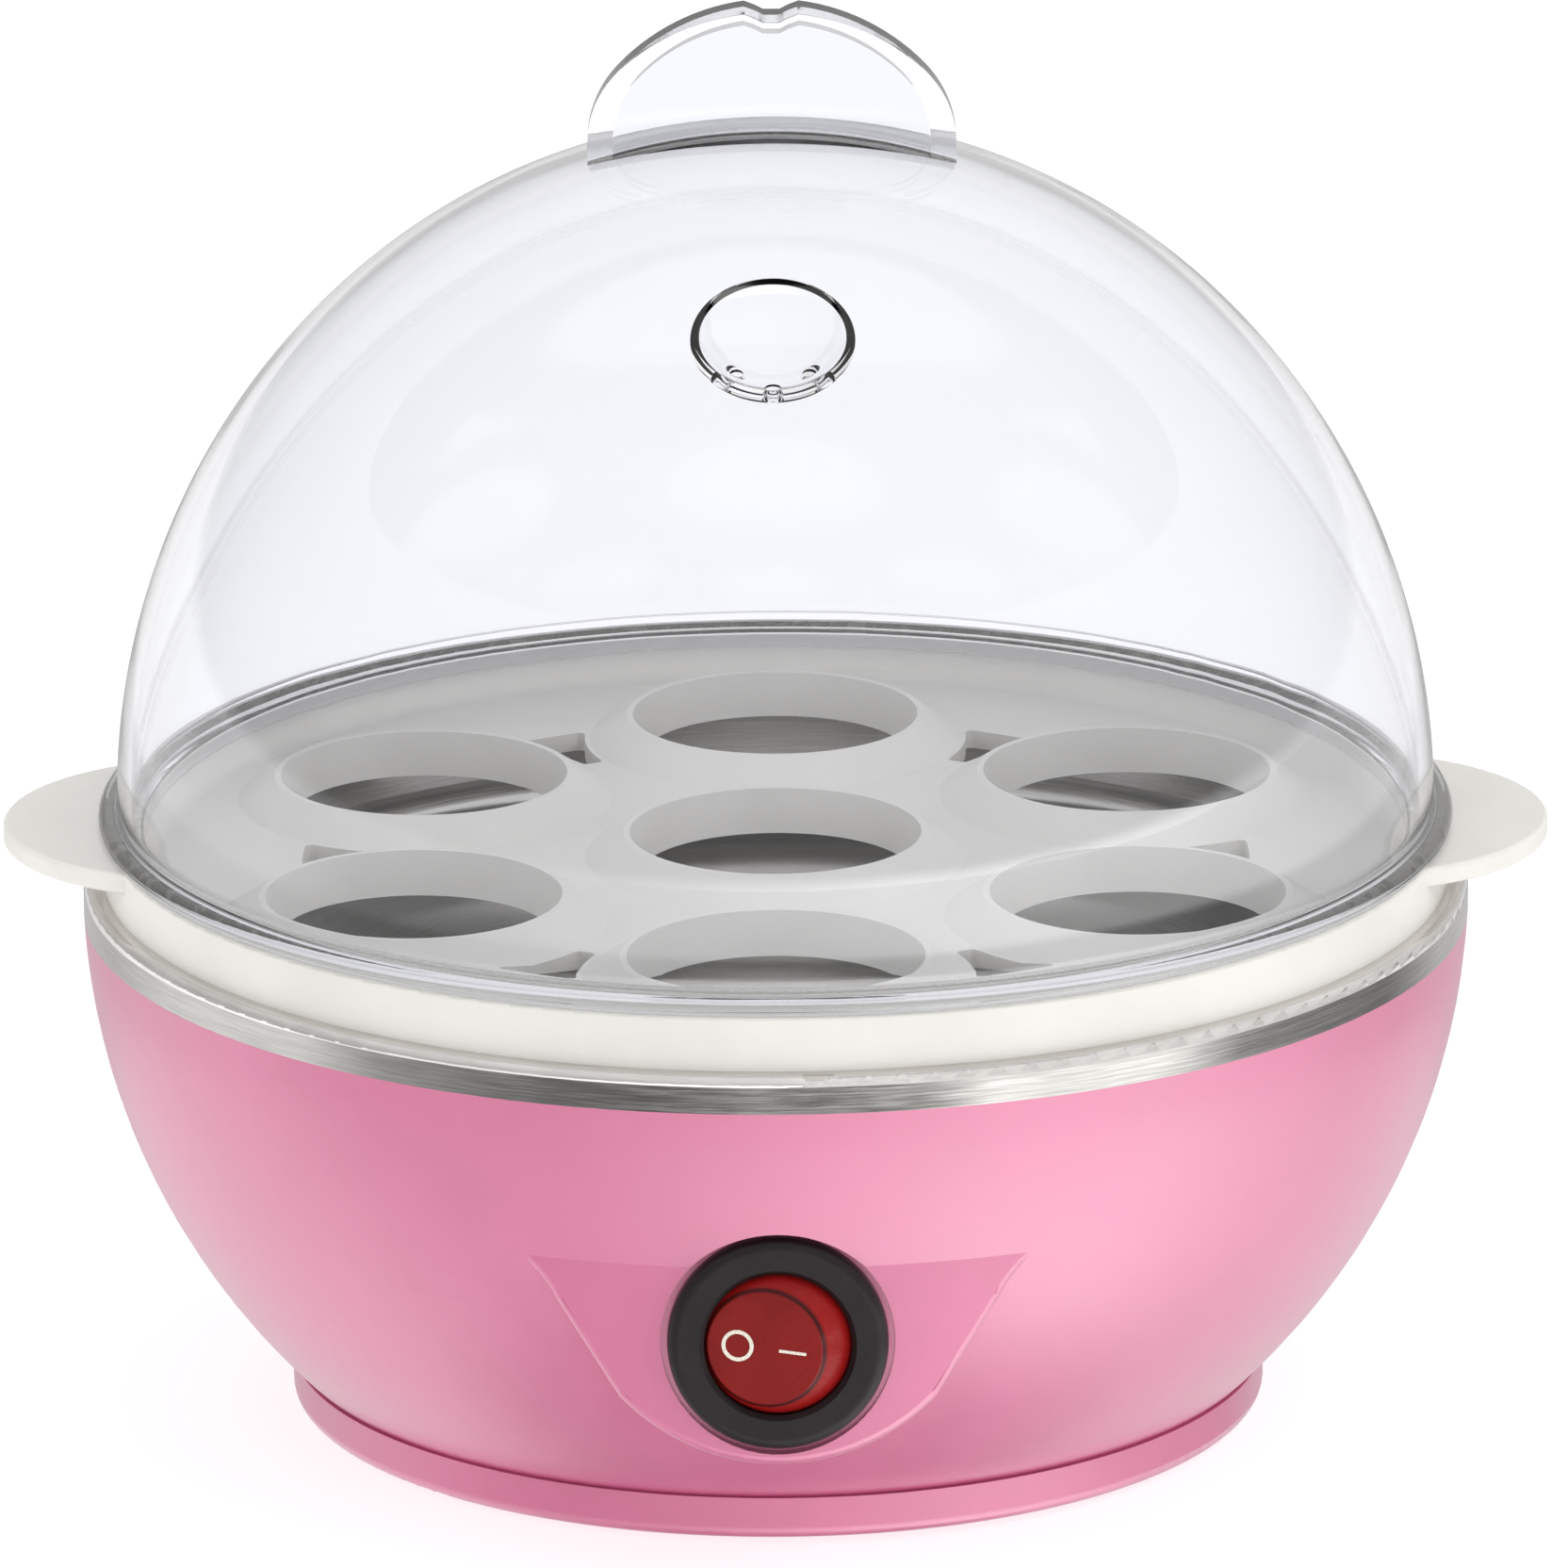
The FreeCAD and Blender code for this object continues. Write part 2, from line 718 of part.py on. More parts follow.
def rubber_feet():
    pads = []
    for angle in (0, 90, 180, 270):
        x, y = on_circle("foot_pad_circle", angle)
        rim = cone("foot_pad_radius - 0.4", "foot_pad_radius", "0.4", (x, y, "0"))
        stem = cylinder("foot_pad_radius", "foot_gap + foot_pad_inset - 0.4", (x, y, "0.4"))
        pads.append(fuse(rim, stem))
    return group(pads)


def cover_screws():
    """Pan-head screws with a cross recess, driven up from below into the bosses."""
    screws = []
    head_bottom = "(foot_gap + 0.6)"
    for angle in SCREW_ANGLES:
        x, y = on_circle("boss_circle", angle)
        head = cylinder("screw_head_radius", "screw_head_height", (x, y, head_bottom))
        shank = cylinder("screw_radius", "screw_length", (x, y, f"{head_bottom} + screw_head_height"))
        cross = [box((f"{x} - {across} / 2", f"{y} - {along} / 2", "foot_gap"),
                     (f"{x} + {across} / 2", f"{y} + {along} / 2", f"{head_bottom} + drive_depth"))
                 for across, along in (("drive_length", "drive_width"), ("drive_width", "drive_length"))]
        screws.append(cut(fuse(head, shank), *cross))
    return group(screws)


# ---------------------------------------------------------------- base: pan and heating


def heating_pan():
    """A pressed steel dish whose rim turns over and down outside the bowl's lip."""
    body = new_body("heating_pan")
    floor = "(rim_top - pan_depth)"
    inner_round = "(rim_round - pan_sheet)"
    revolve(body, [
        ("0", PAN_UNDER),
        (f"{PAN_RADIUS} - pan_corner", PAN_UNDER, "pan_corner + pan_sheet", 1),
        (f"{PAN_RADIUS} + pan_sheet", f"{floor} + pan_corner"),
        (f"{PAN_RADIUS} + pan_sheet", f"rim_top - {inner_round} - pan_sheet - 0.1"),
        (f"{PAN_RADIUS} + pan_sheet + 0.6", "rim_top - pan_sheet"),
        ("bowl_radius - rim_round", "rim_top - pan_sheet", inner_round, -1),
        ("bowl_radius - pan_sheet", "rim_top - rim_round"),
        ("bowl_radius - pan_sheet", BAND_BOTTOM),
        ("bowl_radius", BAND_BOTTOM),
        ("bowl_radius", "rim_top - rim_round", "rim_round", 1),
        ("bowl_radius - rim_round", "rim_top"),
        (f"{PAN_RADIUS} + rim_round", "rim_top", "rim_round", 1),
        (PAN_RADIUS, "rim_top - rim_round"),
        (PAN_RADIUS, f"{floor} + pan_corner", "pan_corner", -1),
        (f"{PAN_RADIUS} - pan_corner", floor),
        ("0", floor),
    ])
    return body


def pan_seal():
    outer = "bowl_radius - pan_sheet - lip_gap - 0.3"
    ring = cylinder(outer, "seal_height", ("0", "0", LIP_TOP))
    return cut(ring, cylinder(f"{outer} - lip_wall + 0.4", "seal_height + 2", ("0", "0", f"{LIP_TOP} - 1")))


def pan_studs():
    studs = []
    for angle in STUD_ANGLES:
        x, y = on_circle("stud_circle", angle)
        studs.append(cylinder("stud_radius", f"{PAN_UNDER} - stud_end", (x, y, "stud_end")))
    return group(studs)


def hex_nut(x, y, top):
    """A hexagonal nut under a face at a height, round a stud."""
    nut = doc.addObject("Part::Prism", "Nut")
    nut.Polygon = 6
    place(bind(nut, Circumradius="nut_radius", Height="nut_height"), (x, y, f"{top} - nut_height"))
    return cut(nut, cylinder("stud_radius", "nut_height + 2", (x, y, f"{top} - nut_height - 1")))


def pan_nuts():
    return group([hex_nut(*on_circle("stud_circle", angle), "ledge_top - ledge_thickness")
                  for angle in STUD_ANGLES])


def heat_spreader():
    body = new_body("heat_spreader")
    pad(body, circle_sketch(body, "0", "0", "spreader_radius", SPREADER_UNDER), "spreader_thickness")
    return body


def heating_element():
    """A tubular ring with a gap, and a cold pin down from each end."""
    ring = doc.addObject("Part::Torus", "Loop")
    ring.Angle1 = -180
    ring.Angle2 = 180
    bind(ring, Radius1="element_radius", Radius2="element_tube", Angle3="360 - element_gap")
    place(ring, ("0", "0", ELEMENT_LEVEL), (Z_AXIS, "element_gap / 2"))
    pieces = [ring]
    for angle in ("element_gap / 2", "-element_gap / 2"):
        x, y = on_circle("element_radius", angle)
        pieces.append(cylinder("element_tube", f"{ELEMENT_LEVEL} - pin_end - 4", (x, y, "pin_end + 4")))
        pieces.append(sphere("element_tube", (x, y, ELEMENT_LEVEL)))
        pieces.append(cylinder("pin_radius", "5", (x, y, "pin_end")))
    return fuse(*pieces)


CAP_UNDER = f"({SPREADER_UNDER} - thermostat_cap)"
SHOULDER = f"({CAP_UNDER} - bracket_thickness)"
THERMOSTAT_UNDER = f"({SHOULDER} - thermostat_height)"


def thermostat_body():
    lower = cylinder("thermostat_radius", "thermostat_height", ("0", "0", THERMOSTAT_UNDER))
    return fuse(lower, cylinder("thermostat_neck", "bracket_thickness", ("0", "0", SHOULDER)))


def thermostat_cap():
    return cylinder("thermostat_neck", "thermostat_cap", ("0", "0", CAP_UNDER))


def thermostat_terminals():
    blades = []
    for side in (-1, 1):
        low = f"{side} * terminal_offset - tab_thickness / 2"
        high = f"{side} * terminal_offset + tab_thickness / 2"
        blades.append(box(("-tab_width / 2", low, f"{THERMOSTAT_UNDER} - terminal_drop"),
                          ("tab_width / 2", high, THERMOSTAT_UNDER)))
    return group(blades)


def thermostat_bracket():
    """A strap that presses the thermostat's shoulder up against the spreader."""
    strap = box(("-bracket_half_length", "-bracket_half_width", SHOULDER),
                ("bracket_half_length", "bracket_half_width", f"{SHOULDER} + bracket_thickness"))
    below, through = f"{SHOULDER} - 1", "bracket_thickness + 2"
    holes = [cylinder("thermostat_neck + 0.1", through, ("0", "0", below))]
    for side in (-1, 1):
        aside = f"{side} * bracket_stud_offset"
        holes.append(cylinder("stud_radius + stud_gap", through, (aside, "0", below)))
    return cut(strap, *holes)


def bracket_studs():
    foot = f"{SPREADER_UNDER} - bracket_stud_length"
    return group([cylinder("stud_radius", "bracket_stud_length", (f"{side} * bracket_stud_offset", "0", foot))
                  for side in (-1, 1)])


def bracket_nuts():
    return group([hex_nut(f"{side} * bracket_stud_offset", "0", SHOULDER) for side in (-1, 1)])


# ---------------------------------------------------------------- base: switch

PIVOT_POINT = ("0", f"-{PIVOT}", "switch_height")
BORE_END = "(rocker_shell - rocker_face + 0.4)"


def switch_housing():
    """Bezel and barrel, turned about Y through the rocker's pivot."""
    body = new_body("switch_housing")
    front = "-pivot_depth"
    seat = "(bezel_thickness - pivot_depth)"
    cavity = "(barrel_radius - barrel_wall)"
    lip = "(0 - sqrt(rocker_radius * rocker_radius - mouth_radius * mouth_radius) - 0.44)"
    shell = body.newObject("PartDesign::Revolution", "Turned")
    shell.Profile = body_sketch(body, "XY_Plane", [
        ("mouth_radius + mouth_slope", front),
        ("bezel_radius - bezel_round", front, "bezel_round", 1),
        ("bezel_radius", f"{front} + bezel_round"),
        ("bezel_radius", seat),
        ("barrel_radius", seat),
        ("barrel_radius", f"{seat} + barrel_depth"),
        ("0", f"{seat} + barrel_depth"),
        ("0", f"{seat} + barrel_depth - barrel_back"),
        (cavity, f"{seat} + barrel_depth - barrel_back"),
        (cavity, "-2.5"),
        ("mouth_radius", lip),
        ("mouth_radius", f"{front} + mouth_slope"),
    ])
    shell.ReferenceAxis = (shell.Profile[0], ["V_Axis"])
    shell.Angle = 360
    wing_front = f"({seat} + spot_wall + 0.3)"
    for side in (-1, 1):
        corners = [
            (f"{side} * (barrel_radius - 0.3)", wing_front),
            (f"{side} * (barrel_radius + 1.3)", wing_front),
            (f"{side} * (barrel_radius + 0.3)", f"{wing_front} + 6"),
            (f"{side} * (barrel_radius - 0.3)", f"{wing_front} + 6"),
        ]
        wing = body_sketch(body, "XY_Plane", corners, "-2.5")
        pad(body, wing, "5")
    bearing = circle_sketch(body, "0", "0", "trunnion_radius + trunnion_gap", "barrel_radius + 1")
    pocket(body, bearing, "2 * barrel_radius + 2")
    for number in (-1, 0, 1):
        middle = f"{number} * tab_spacing"
        slot = body_sketch(body, "XY_Plane", [
            (f"{middle} - tab_thickness / 2", f"{seat} + barrel_depth - barrel_back - 1"),
            (f"{middle} + tab_thickness / 2", f"{seat} + barrel_depth - barrel_back - 1"),
            (f"{middle} + tab_thickness / 2", f"{seat} + barrel_depth + 1"),
            (f"{middle} - tab_thickness / 2", f"{seat} + barrel_depth + 1"),
        ], "tab_width / 2")
        pocket(body, slot, "tab_width")
    return place(body, PIVOT_POINT)


def switch_terminals():
    """Centre, live and lamp tabs, each starting behind what touches it inside the barrel."""
    starts = {-1: "blade_depth + 1.15", 0: "blade_depth + blade_roll + 0.05", 1: "blade_depth + 1.9"}
    tabs = []
    for number, start in starts.items():
        middle = f"{number} * tab_spacing"
        tabs.append(box((f"{middle} - tab_thickness / 2", start, "-tab_width / 2"),
                        (f"{middle} + tab_thickness / 2", "tab_end", "tab_width / 2")))
    return place(group(tabs), PIVOT_POINT)


def spade_sleeves():
    sleeves = []
    for number in (-1, 0, 1):
        middle = f"{number} * tab_spacing"
        hull = box((f"{middle} - 1.5", "sleeve_start", "-tab_width / 2 - 0.8"),
                   (f"{middle} + 1.5", "sleeve_start + sleeve_length", "tab_width / 2 + 0.8"))
        slot = box((f"{middle} - tab_thickness / 2", "sleeve_start - 1", "-tab_width / 2"),
                   (f"{middle} + tab_thickness / 2", "tab_end", "tab_width / 2"))
        sleeves.append(cut(hull, slot))
    return place(group(sleeves), PIVOT_POINT)


REST_TURN = (Z_AXIS, "-rocker_tilt")


def rocker():
    """A ball cut by a flat face, hollow behind, with a post for the plunger and two trunnions."""
    reach = "(rocker_radius + 1)"
    skin = common(sphere("rocker_radius", ("0", "0", "0")),
                  box((f"-{reach}", "-rocker_face", f"-{reach}"), (reach, "rocker_back", reach)))
    inner = "(rocker_radius - rocker_shell)"
    hollow = common(sphere(inner, ("0", "0", "0")),
                    box((f"-{reach}", "rocker_shell - rocker_face", f"-{reach}"), (reach, reach, reach)))
    post = cylinder("plunger_radius + 1.1", "rocker_face - rocker_shell + 1.6",
                    ("0", "rocker_shell - rocker_face - 0.1", "0"), "y")
    bore = cylinder("plunger_radius + plunger_gap", "rocker_face", ("0", BORE_END, "0"), "y")
    pin_start = f"({inner} - 0.4)"
    pins = [cylinder("trunnion_radius", f"barrel_radius - 0.1 - {pin_start}", ("0", "0", start))
            for start in (pin_start, "0.1 - barrel_radius")]
    return place(cut(fuse(cut(skin, hollow), post, *pins), bore), PIVOT_POINT, REST_TURN)


def rocker_marks():
    """A ring on the left half and a short bar on the right half of the rocker's face."""
    proud = "(rocker_face + mark_height)"
    eye = cylinder("ring_radius - ring_line", "mark_height + 1", ("-ring_offset", f"-{proud} - 0.5", "0"), "y")
    ring = cut(cylinder("ring_radius", "mark_height", ("-ring_offset", f"-{proud}", "0"), "y"), eye)
    bar = box(("bar_offset - bar_half_length", f"-{proud}", "-bar_width / 2"),
              ("bar_offset + bar_half_length", "-rocker_face", "bar_width / 2"))
    pair = group([ring, bar])
    pair.Placement = FreeCAD.Placement(FreeCAD.Vector(), FreeCAD.Rotation(Y_AXIS, size("mark_turn")))
    return place(group([pair]), PIVOT_POINT, REST_TURN)


def rocker_plunger():
    """A round-nosed pin that slides in the post and pushes on the contact blade."""
    tip = "(blade_depth - blade_thickness - 0.25 - plunger_radius)"
    stem = cylinder("plunger_radius", f"{tip} + plunger_rear", ("0", "-plunger_rear", "0"), "y")
    return place(fuse(stem, sphere("plunger_radius", ("0", tip, "0"))), PIVOT_POINT, REST_TURN)


def rocker_spring():
    """A short spring of square wire between the post's end and the plunger."""
    outer = size("plunger_radius")
    inner, half = outer - size("spring_wire"), size("spring_wire") / 2
    front = size(BORE_END) + half
    length = -size("plunger_rear") - half - front
    helix = Part.makeHelix(length / size("spring_turns"), length, (outer + inner) / 2)
    square = ((inner, -half), (outer, -half), (outer, half), (inner, half))
    corners = [FreeCAD.Vector(x, 0, z) for x, z in square]
    section = Part.makePolygon(corners + corners[:1])
    coil = Part.Wire(helix.Edges).makePipeShell([section], True, True)
    coil.Placement = FreeCAD.Placement(FreeCAD.Vector(0, front, 0), FreeCAD.Rotation(X_AXIS, -90))
    spring = doc.addObject("Part::Feature", "Coil")
    spring.Shape = coil
    return place(group([spring]), PIVOT_POINT, REST_TURN)


def indicator_lamp():
    """A neon bead in the rocker's left half, behind the shell."""
    lamp = cylinder("lamp_radius", "lamp_length", ("-4.3", "-1.5", "-lamp_length / 2"))
    return place(group([lamp]), PIVOT_POINT, REST_TURN)


def contact_blade():
    """A strip that rocks on a rolled bead at the centre tab, with a button on the live side."""
    strip = box(("-blade_half_length", "-blade_thickness", "-blade_half_width"),
                ("blade_half_length", "0", "blade_half_width"))
    bead = cylinder("blade_roll", "2 * blade_half_width", ("0", "0", "-blade_half_width"))
    button = cylinder("button_radius", "button_height", ("-tab_spacing", "0", "0"), "y")
    hinge = ("0", f"blade_depth - {PIVOT}", "switch_height")
    return place(fuse(strip, bead, button), hinge, (Z_AXIS, "blade_tilt"))


# ---------------------------------------------------------------- base: wiring and inlet


def cord_gland():
    """A flanged bushing for the mains cord, snapped into the collar at the back."""
    inner = "(gland_seat - gland_collar_length)"
    flange = cylinder("gland_flange", "gland_flange_thickness", ("0", "gland_seat", "gland_height"), "y")
    neck = cylinder("gland_neck", "gland_collar_length + 2", ("0", f"{inner} - 2", "gland_height"), "y")
    snap = cylinder("gland_neck + 1.3", "1.9", ("0", f"{inner} - 2", "gland_height"), "y")
    bore = cylinder("gland_bore", "gland_collar_length + gland_flange_thickness + 4",
                    ("0", f"{inner} - 3", "gland_height"), "y")
    return cut(fuse(flange, neck, snap), bore)


def terminal_block():
    """A three-pole screw block on the cover's floor."""
    hull = box(("-block_half_length", "block_front", COVER_TOP),
               ("block_half_length", "block_back", f"{COVER_TOP} + block_height"))
    screw_line, well_floor = "(block_front + block_back) / 2 + 2.5", f"{COVER_TOP} + block_height - 3"
    wells = [cylinder("1.7", "4", (f"{number} * pole_pitch", screw_line, well_floor))
             for number in (-1, 0, 1)]
    return cut(hull, *wells)


FUSE_Y = "(element_radius * sin(element_gap / 2))"


def thermal_fuse():
    return cylinder("fuse_radius", "fuse_length", ("fuse_start", FUSE_Y, "fuse_level"), "x")


def fuse_sleeve():
    start = "(fuse_start + fuse_length / 2 - fuse_sleeve_length / 2)"
    tube = cylinder("fuse_sleeve_radius", "fuse_sleeve_length", (start, FUSE_Y, "fuse_level"), "x")
    bore = cylinder("fuse_radius", "fuse_sleeve_length + 2", (f"{start} - 1", FUSE_Y, "fuse_level"), "x")
    return cut(tube, bore)


def earth_tag():
    """A ring tag under the nut of the left rear pan stud, with a tail for the earth lead."""
    x, y = on_circle("stud_circle", STUD_ANGLES[1])
    top = "(ledge_top - ledge_thickness - nut_height)"
    under = f"({top} - tag_thickness)"
    ring = cylinder("nut_radius", "tag_thickness", (x, y, under))
    tail = box((f"{x} - 2", f"{y} - tag_length", under), (f"{x} + 2", y, top))
    return cut(fuse(ring, tail), cylinder("stud_radius", "tag_thickness + 2", (x, y, f"{under} - 1")))


def wiring():
    """Every internal lead, from the terminal block through switch, thermostat and fuse."""
    socket_y = f"(sleeve_start + sleeve_length - {PIVOT})"
    pin_x, pin_y = on_circle("element_radius", "element_gap / 2")
    terminal_z = f"{THERMOSTAT_UNDER} - terminal_drop"
    block_z = f"{COVER_TOP} + block_height / 2"
    keep("live_lead", lead(
        ("0", "block_front", block_z),
        ("0", "24", block_z),
        ("-14", "4", "9"),
        ("-14", "-12", "12"),
        ("-2", f"{socket_y} + 16", "16"),
        ("0", f"{socket_y} + 9", "switch_height"),
        ("0", socket_y, "switch_height")))
    keep("switch_lead", lead(
        ("-tab_spacing", socket_y, "switch_height"),
        ("-tab_spacing", f"{socket_y} + 15", "switch_height"),
        ("-3", f"{socket_y} + 25", "fuse_level"),
        ("0", "-terminal_offset", "fuse_level"),
        ("0", "-terminal_offset", terminal_z)))
    keep("fuse_lead", lead(
        ("0", "terminal_offset", terminal_z),
        ("0", "terminal_offset", "fuse_level"),
        ("0", FUSE_Y, "fuse_level"),
        ("fuse_start", FUSE_Y, "fuse_level")))
    keep("heater_lead", lead(
        ("fuse_start + fuse_length", FUSE_Y, "fuse_level"),
        (pin_x, FUSE_Y, "fuse_level"),
        (pin_x, FUSE_Y, "pin_end")))
    keep("neutral_lead", lead(
        ("pole_pitch", "block_front", block_z),
        ("pole_pitch", "24", block_z),
        (f"{pin_x} - 5", "4", block_z),
        (pin_x, f"-{pin_y}", block_z),
        (pin_x, f"-{pin_y}", "pin_end")))
    keep("lamp_lead", lead(
        ("tab_spacing", socket_y, "switch_height"),
        ("tab_spacing", f"{socket_y} + 12", "switch_height"),
        ("16", f"-{pin_y} - 4", "22"),
        (f"{pin_x} - 6", f"-{pin_y}", "pin_end + 2"),
        (f"{pin_x} - pin_radius - 0.05", f"-{pin_y}", "pin_end + 2")))
    tag_x, tag_y = on_circle("stud_circle", STUD_ANGLES[1])
    tag_z = "(ledge_top - ledge_thickness - nut_height - tag_thickness - lead_radius)"
    keep("earth_lead", lead(
        ("-pole_pitch", "block_front", block_z),
        ("-pole_pitch", "27", block_z),
        (f"{tag_x} + 8", "27", "16"),
        (tag_x, f"{tag_y} - 14", tag_z),
        (tag_x, f"{tag_y} - 3", tag_z)))


# ---------------------------------------------------------------- egg tray


def egg_tray():
    """Tray: rim ring and floor, two ears, a recess, seven seats and six vents."""
    body = new_body("egg_tray")
    skirt_foot = "(rim_top - skirt_depth)"
    under = f"({TRAY_FLOOR} - tray_floor)"
    revolve(body, [
        ("0", under),
        (f"{SKIRT_RADIUS} - skirt_wall", under),
        (f"{SKIRT_RADIUS} - skirt_wall", skirt_foot),
        (SKIRT_RADIUS, skirt_foot),
        (SKIRT_RADIUS, "rim_top"),
        (TRAY_RADIUS, "rim_top"),
        (TRAY_RADIUS, f"{TRAY_TOP} - tray_edge", "tray_edge", 1),
        (f"{TRAY_RADIUS} - tray_edge", TRAY_TOP),
        ("0", TRAY_TOP),
    ])
    for side in (-1, 1):
        rim = f"{side} * (ear_offset + ear_radius)"
        inset = f"{side} * (ear_offset + ear_radius - ear_edge)"
        axis = f"{side} * ear_offset"
        under_ear = f"{TRAY_TOP} - ear_thickness"
        revolve(body, [
            (axis, under_ear),
            (inset, under_ear, "ear_edge", side),
            (rim, f"{under_ear} + ear_edge"),
            (rim, f"{TRAY_TOP} - ear_edge", "ear_edge", side),
            (inset, TRAY_TOP),
            (axis, TRAY_TOP),
        ], axis=axis)
    revolve(body, [
        ("0", TRAY_FLOOR),
        (f"{WELL_FLOOR} - 1.2", TRAY_FLOOR, "1.8", 1),
        (f"{WELL_FLOOR} + 0.2", f"{TRAY_FLOOR} + 0.8"),
        (WELL_TOP, TRAY_TOP),
        (WELL_TOP, f"{TRAY_TOP} + 1"),
        ("0", f"{TRAY_TOP} + 1"),
    ], kind="PartDesign::Groove")

    outer_seat = seat(body, "0 - seat_circle")
    polar(body, outer_seat, 6)
    seat(body, "0")

    middle, aside = "seat_circle * cos(30)", "seat_circle * sin(30)"
    scoop = "(seat_foot_radius + vent_gap)"
    half_inner = f"({aside} - sqrt({scoop} * {scoop} - (vent_inner - {middle}) * (vent_inner - {middle})))"
    half_outer = f"({aside} - sqrt({scoop} * {scoop} - (vent_outer - {middle}) * (vent_outer - {middle})))"
    vent = body_sketch(body, "XY_Plane", [
        ("vent_inner", f"-{half_inner}", scoop, -1),
        ("vent_outer", f"-{half_outer}", "vent_outer", 1),
        ("vent_outer", half_outer, scoop, -1),
        ("vent_inner", half_inner),
    ], f"{TRAY_TOP} + 1")
    polar(body, [pocket(body, vent, "tray_height + tray_floor + 2")], 6)
    corners = [(size("vent_inner"), size(half_inner)), (size("vent_outer"), size(half_outer))]
    rounded(body, "vent_corner", lambda point: at_vent_corner(point, corners))
    return body


def at_vent_corner(point, corners):
    """True for a point straight above a corner of any of the six vents."""
    angle, step = math.atan2(point.y, point.x), math.radians(60)
    angle -= step * round(angle / step)
    radius = math.hypot(point.x, point.y)
    along, aside = radius * math.cos(angle), abs(radius * math.sin(angle))
    return any(near(along, x) and near(aside, y) for x, y in corners)


def seat(body, y):
    """A raised conical collar with a tapered hole for an egg's blunt end, centred at (0, y)."""
    collar = pad(body, circle_sketch(body, "0", y, "seat_foot_radius", TRAY_FLOOR), "seat_height")
    collar.setExpression("TaperAngle", bound("atan((seat_rim_radius - seat_foot_radius) / seat_height)"))
    hole_level = f"({TRAY_FLOOR} + seat_height)"
    hole = pocket(body, circle_sketch(body, "0", y, "seat_hole_radius + seat_lead_in", hole_level),
                  "seat_height + tray_floor")
    hole.setExpression("TaperAngle", bound("atan((0 - seat_lead_in) / (seat_height + tray_floor))"))
    return [collar, hole]


# ---------------------------------------------------------------- lid


def arch(half_width, height, base, floor, waist):
    """Corners of a filled half arch: up the axis side, from a floor, by a waist, to the crown."""
    side, top = oval_quarter(half_width, height)
    return [
        ("0", floor),
        *waist,
        (half_width, base, side, 1),
        (f"{top} * sin(45)", f"({base}) + ({height}) - {top} + {top} * cos(45)", top, 1),
        ("0", f"({base}) + ({height})"),
    ]


def fin_block(half_width, height, half_thickness, end_half_thickness):
    """The handle: a half-moon outline in the XZ plane, lens-shaped when seen from above."""
    side, top = oval_quarter(half_width, height)
    base = f"({APEX} - fin_sink)"
    peak = f"({base} + ({height}))"
    cap = f"({peak} - {top})"
    join_x, join_z = f"({top} * sin(45))", f"({cap} + {top} * cos(45))"
    lip_z = f"({cap} + sqrt({top} * {top} - notch_half_width * notch_half_width))"
    valley = "(notch_half_width * 0.3)"
    valley_z = f"({peak} - notch_depth)"
    foot = f"({base} - 12)"
    outline = upright_outline([
        (f"-({half_width})", foot),
        (half_width, foot),
        (half_width, base, side, 1),
        (join_x, join_z, top, 1),
        ("notch_half_width", lip_z),
        (valley, valley_z),
        (f"-{valley}", valley_z),
        ("-notch_half_width", lip_z, top, 1),
        (f"-{join_x}", join_z, side, 1),
        (f"-({half_width})", base),
    ])
    slab = extruded(outline, FreeCAD.Vector(0, -1, 0), "fin_thickness", "fin_thickness")
    bow = f"({half_thickness} - {end_half_thickness})"
    lens_radius = f"((({half_width}) * ({half_width}) + {bow} * {bow}) / (2 * {bow}))"
    lens = extruded(flat_outline([
        (f"-({half_width})", f"-{end_half_thickness}", lens_radius, 1),
        (half_width, f"-{end_half_thickness}"),
        (half_width, end_half_thickness, lens_radius, 1),
        (f"-({half_width})", end_half_thickness),
    ]), Z_AXIS, f"{APEX} + 2 * fin_height")
    return common(slab, lens)


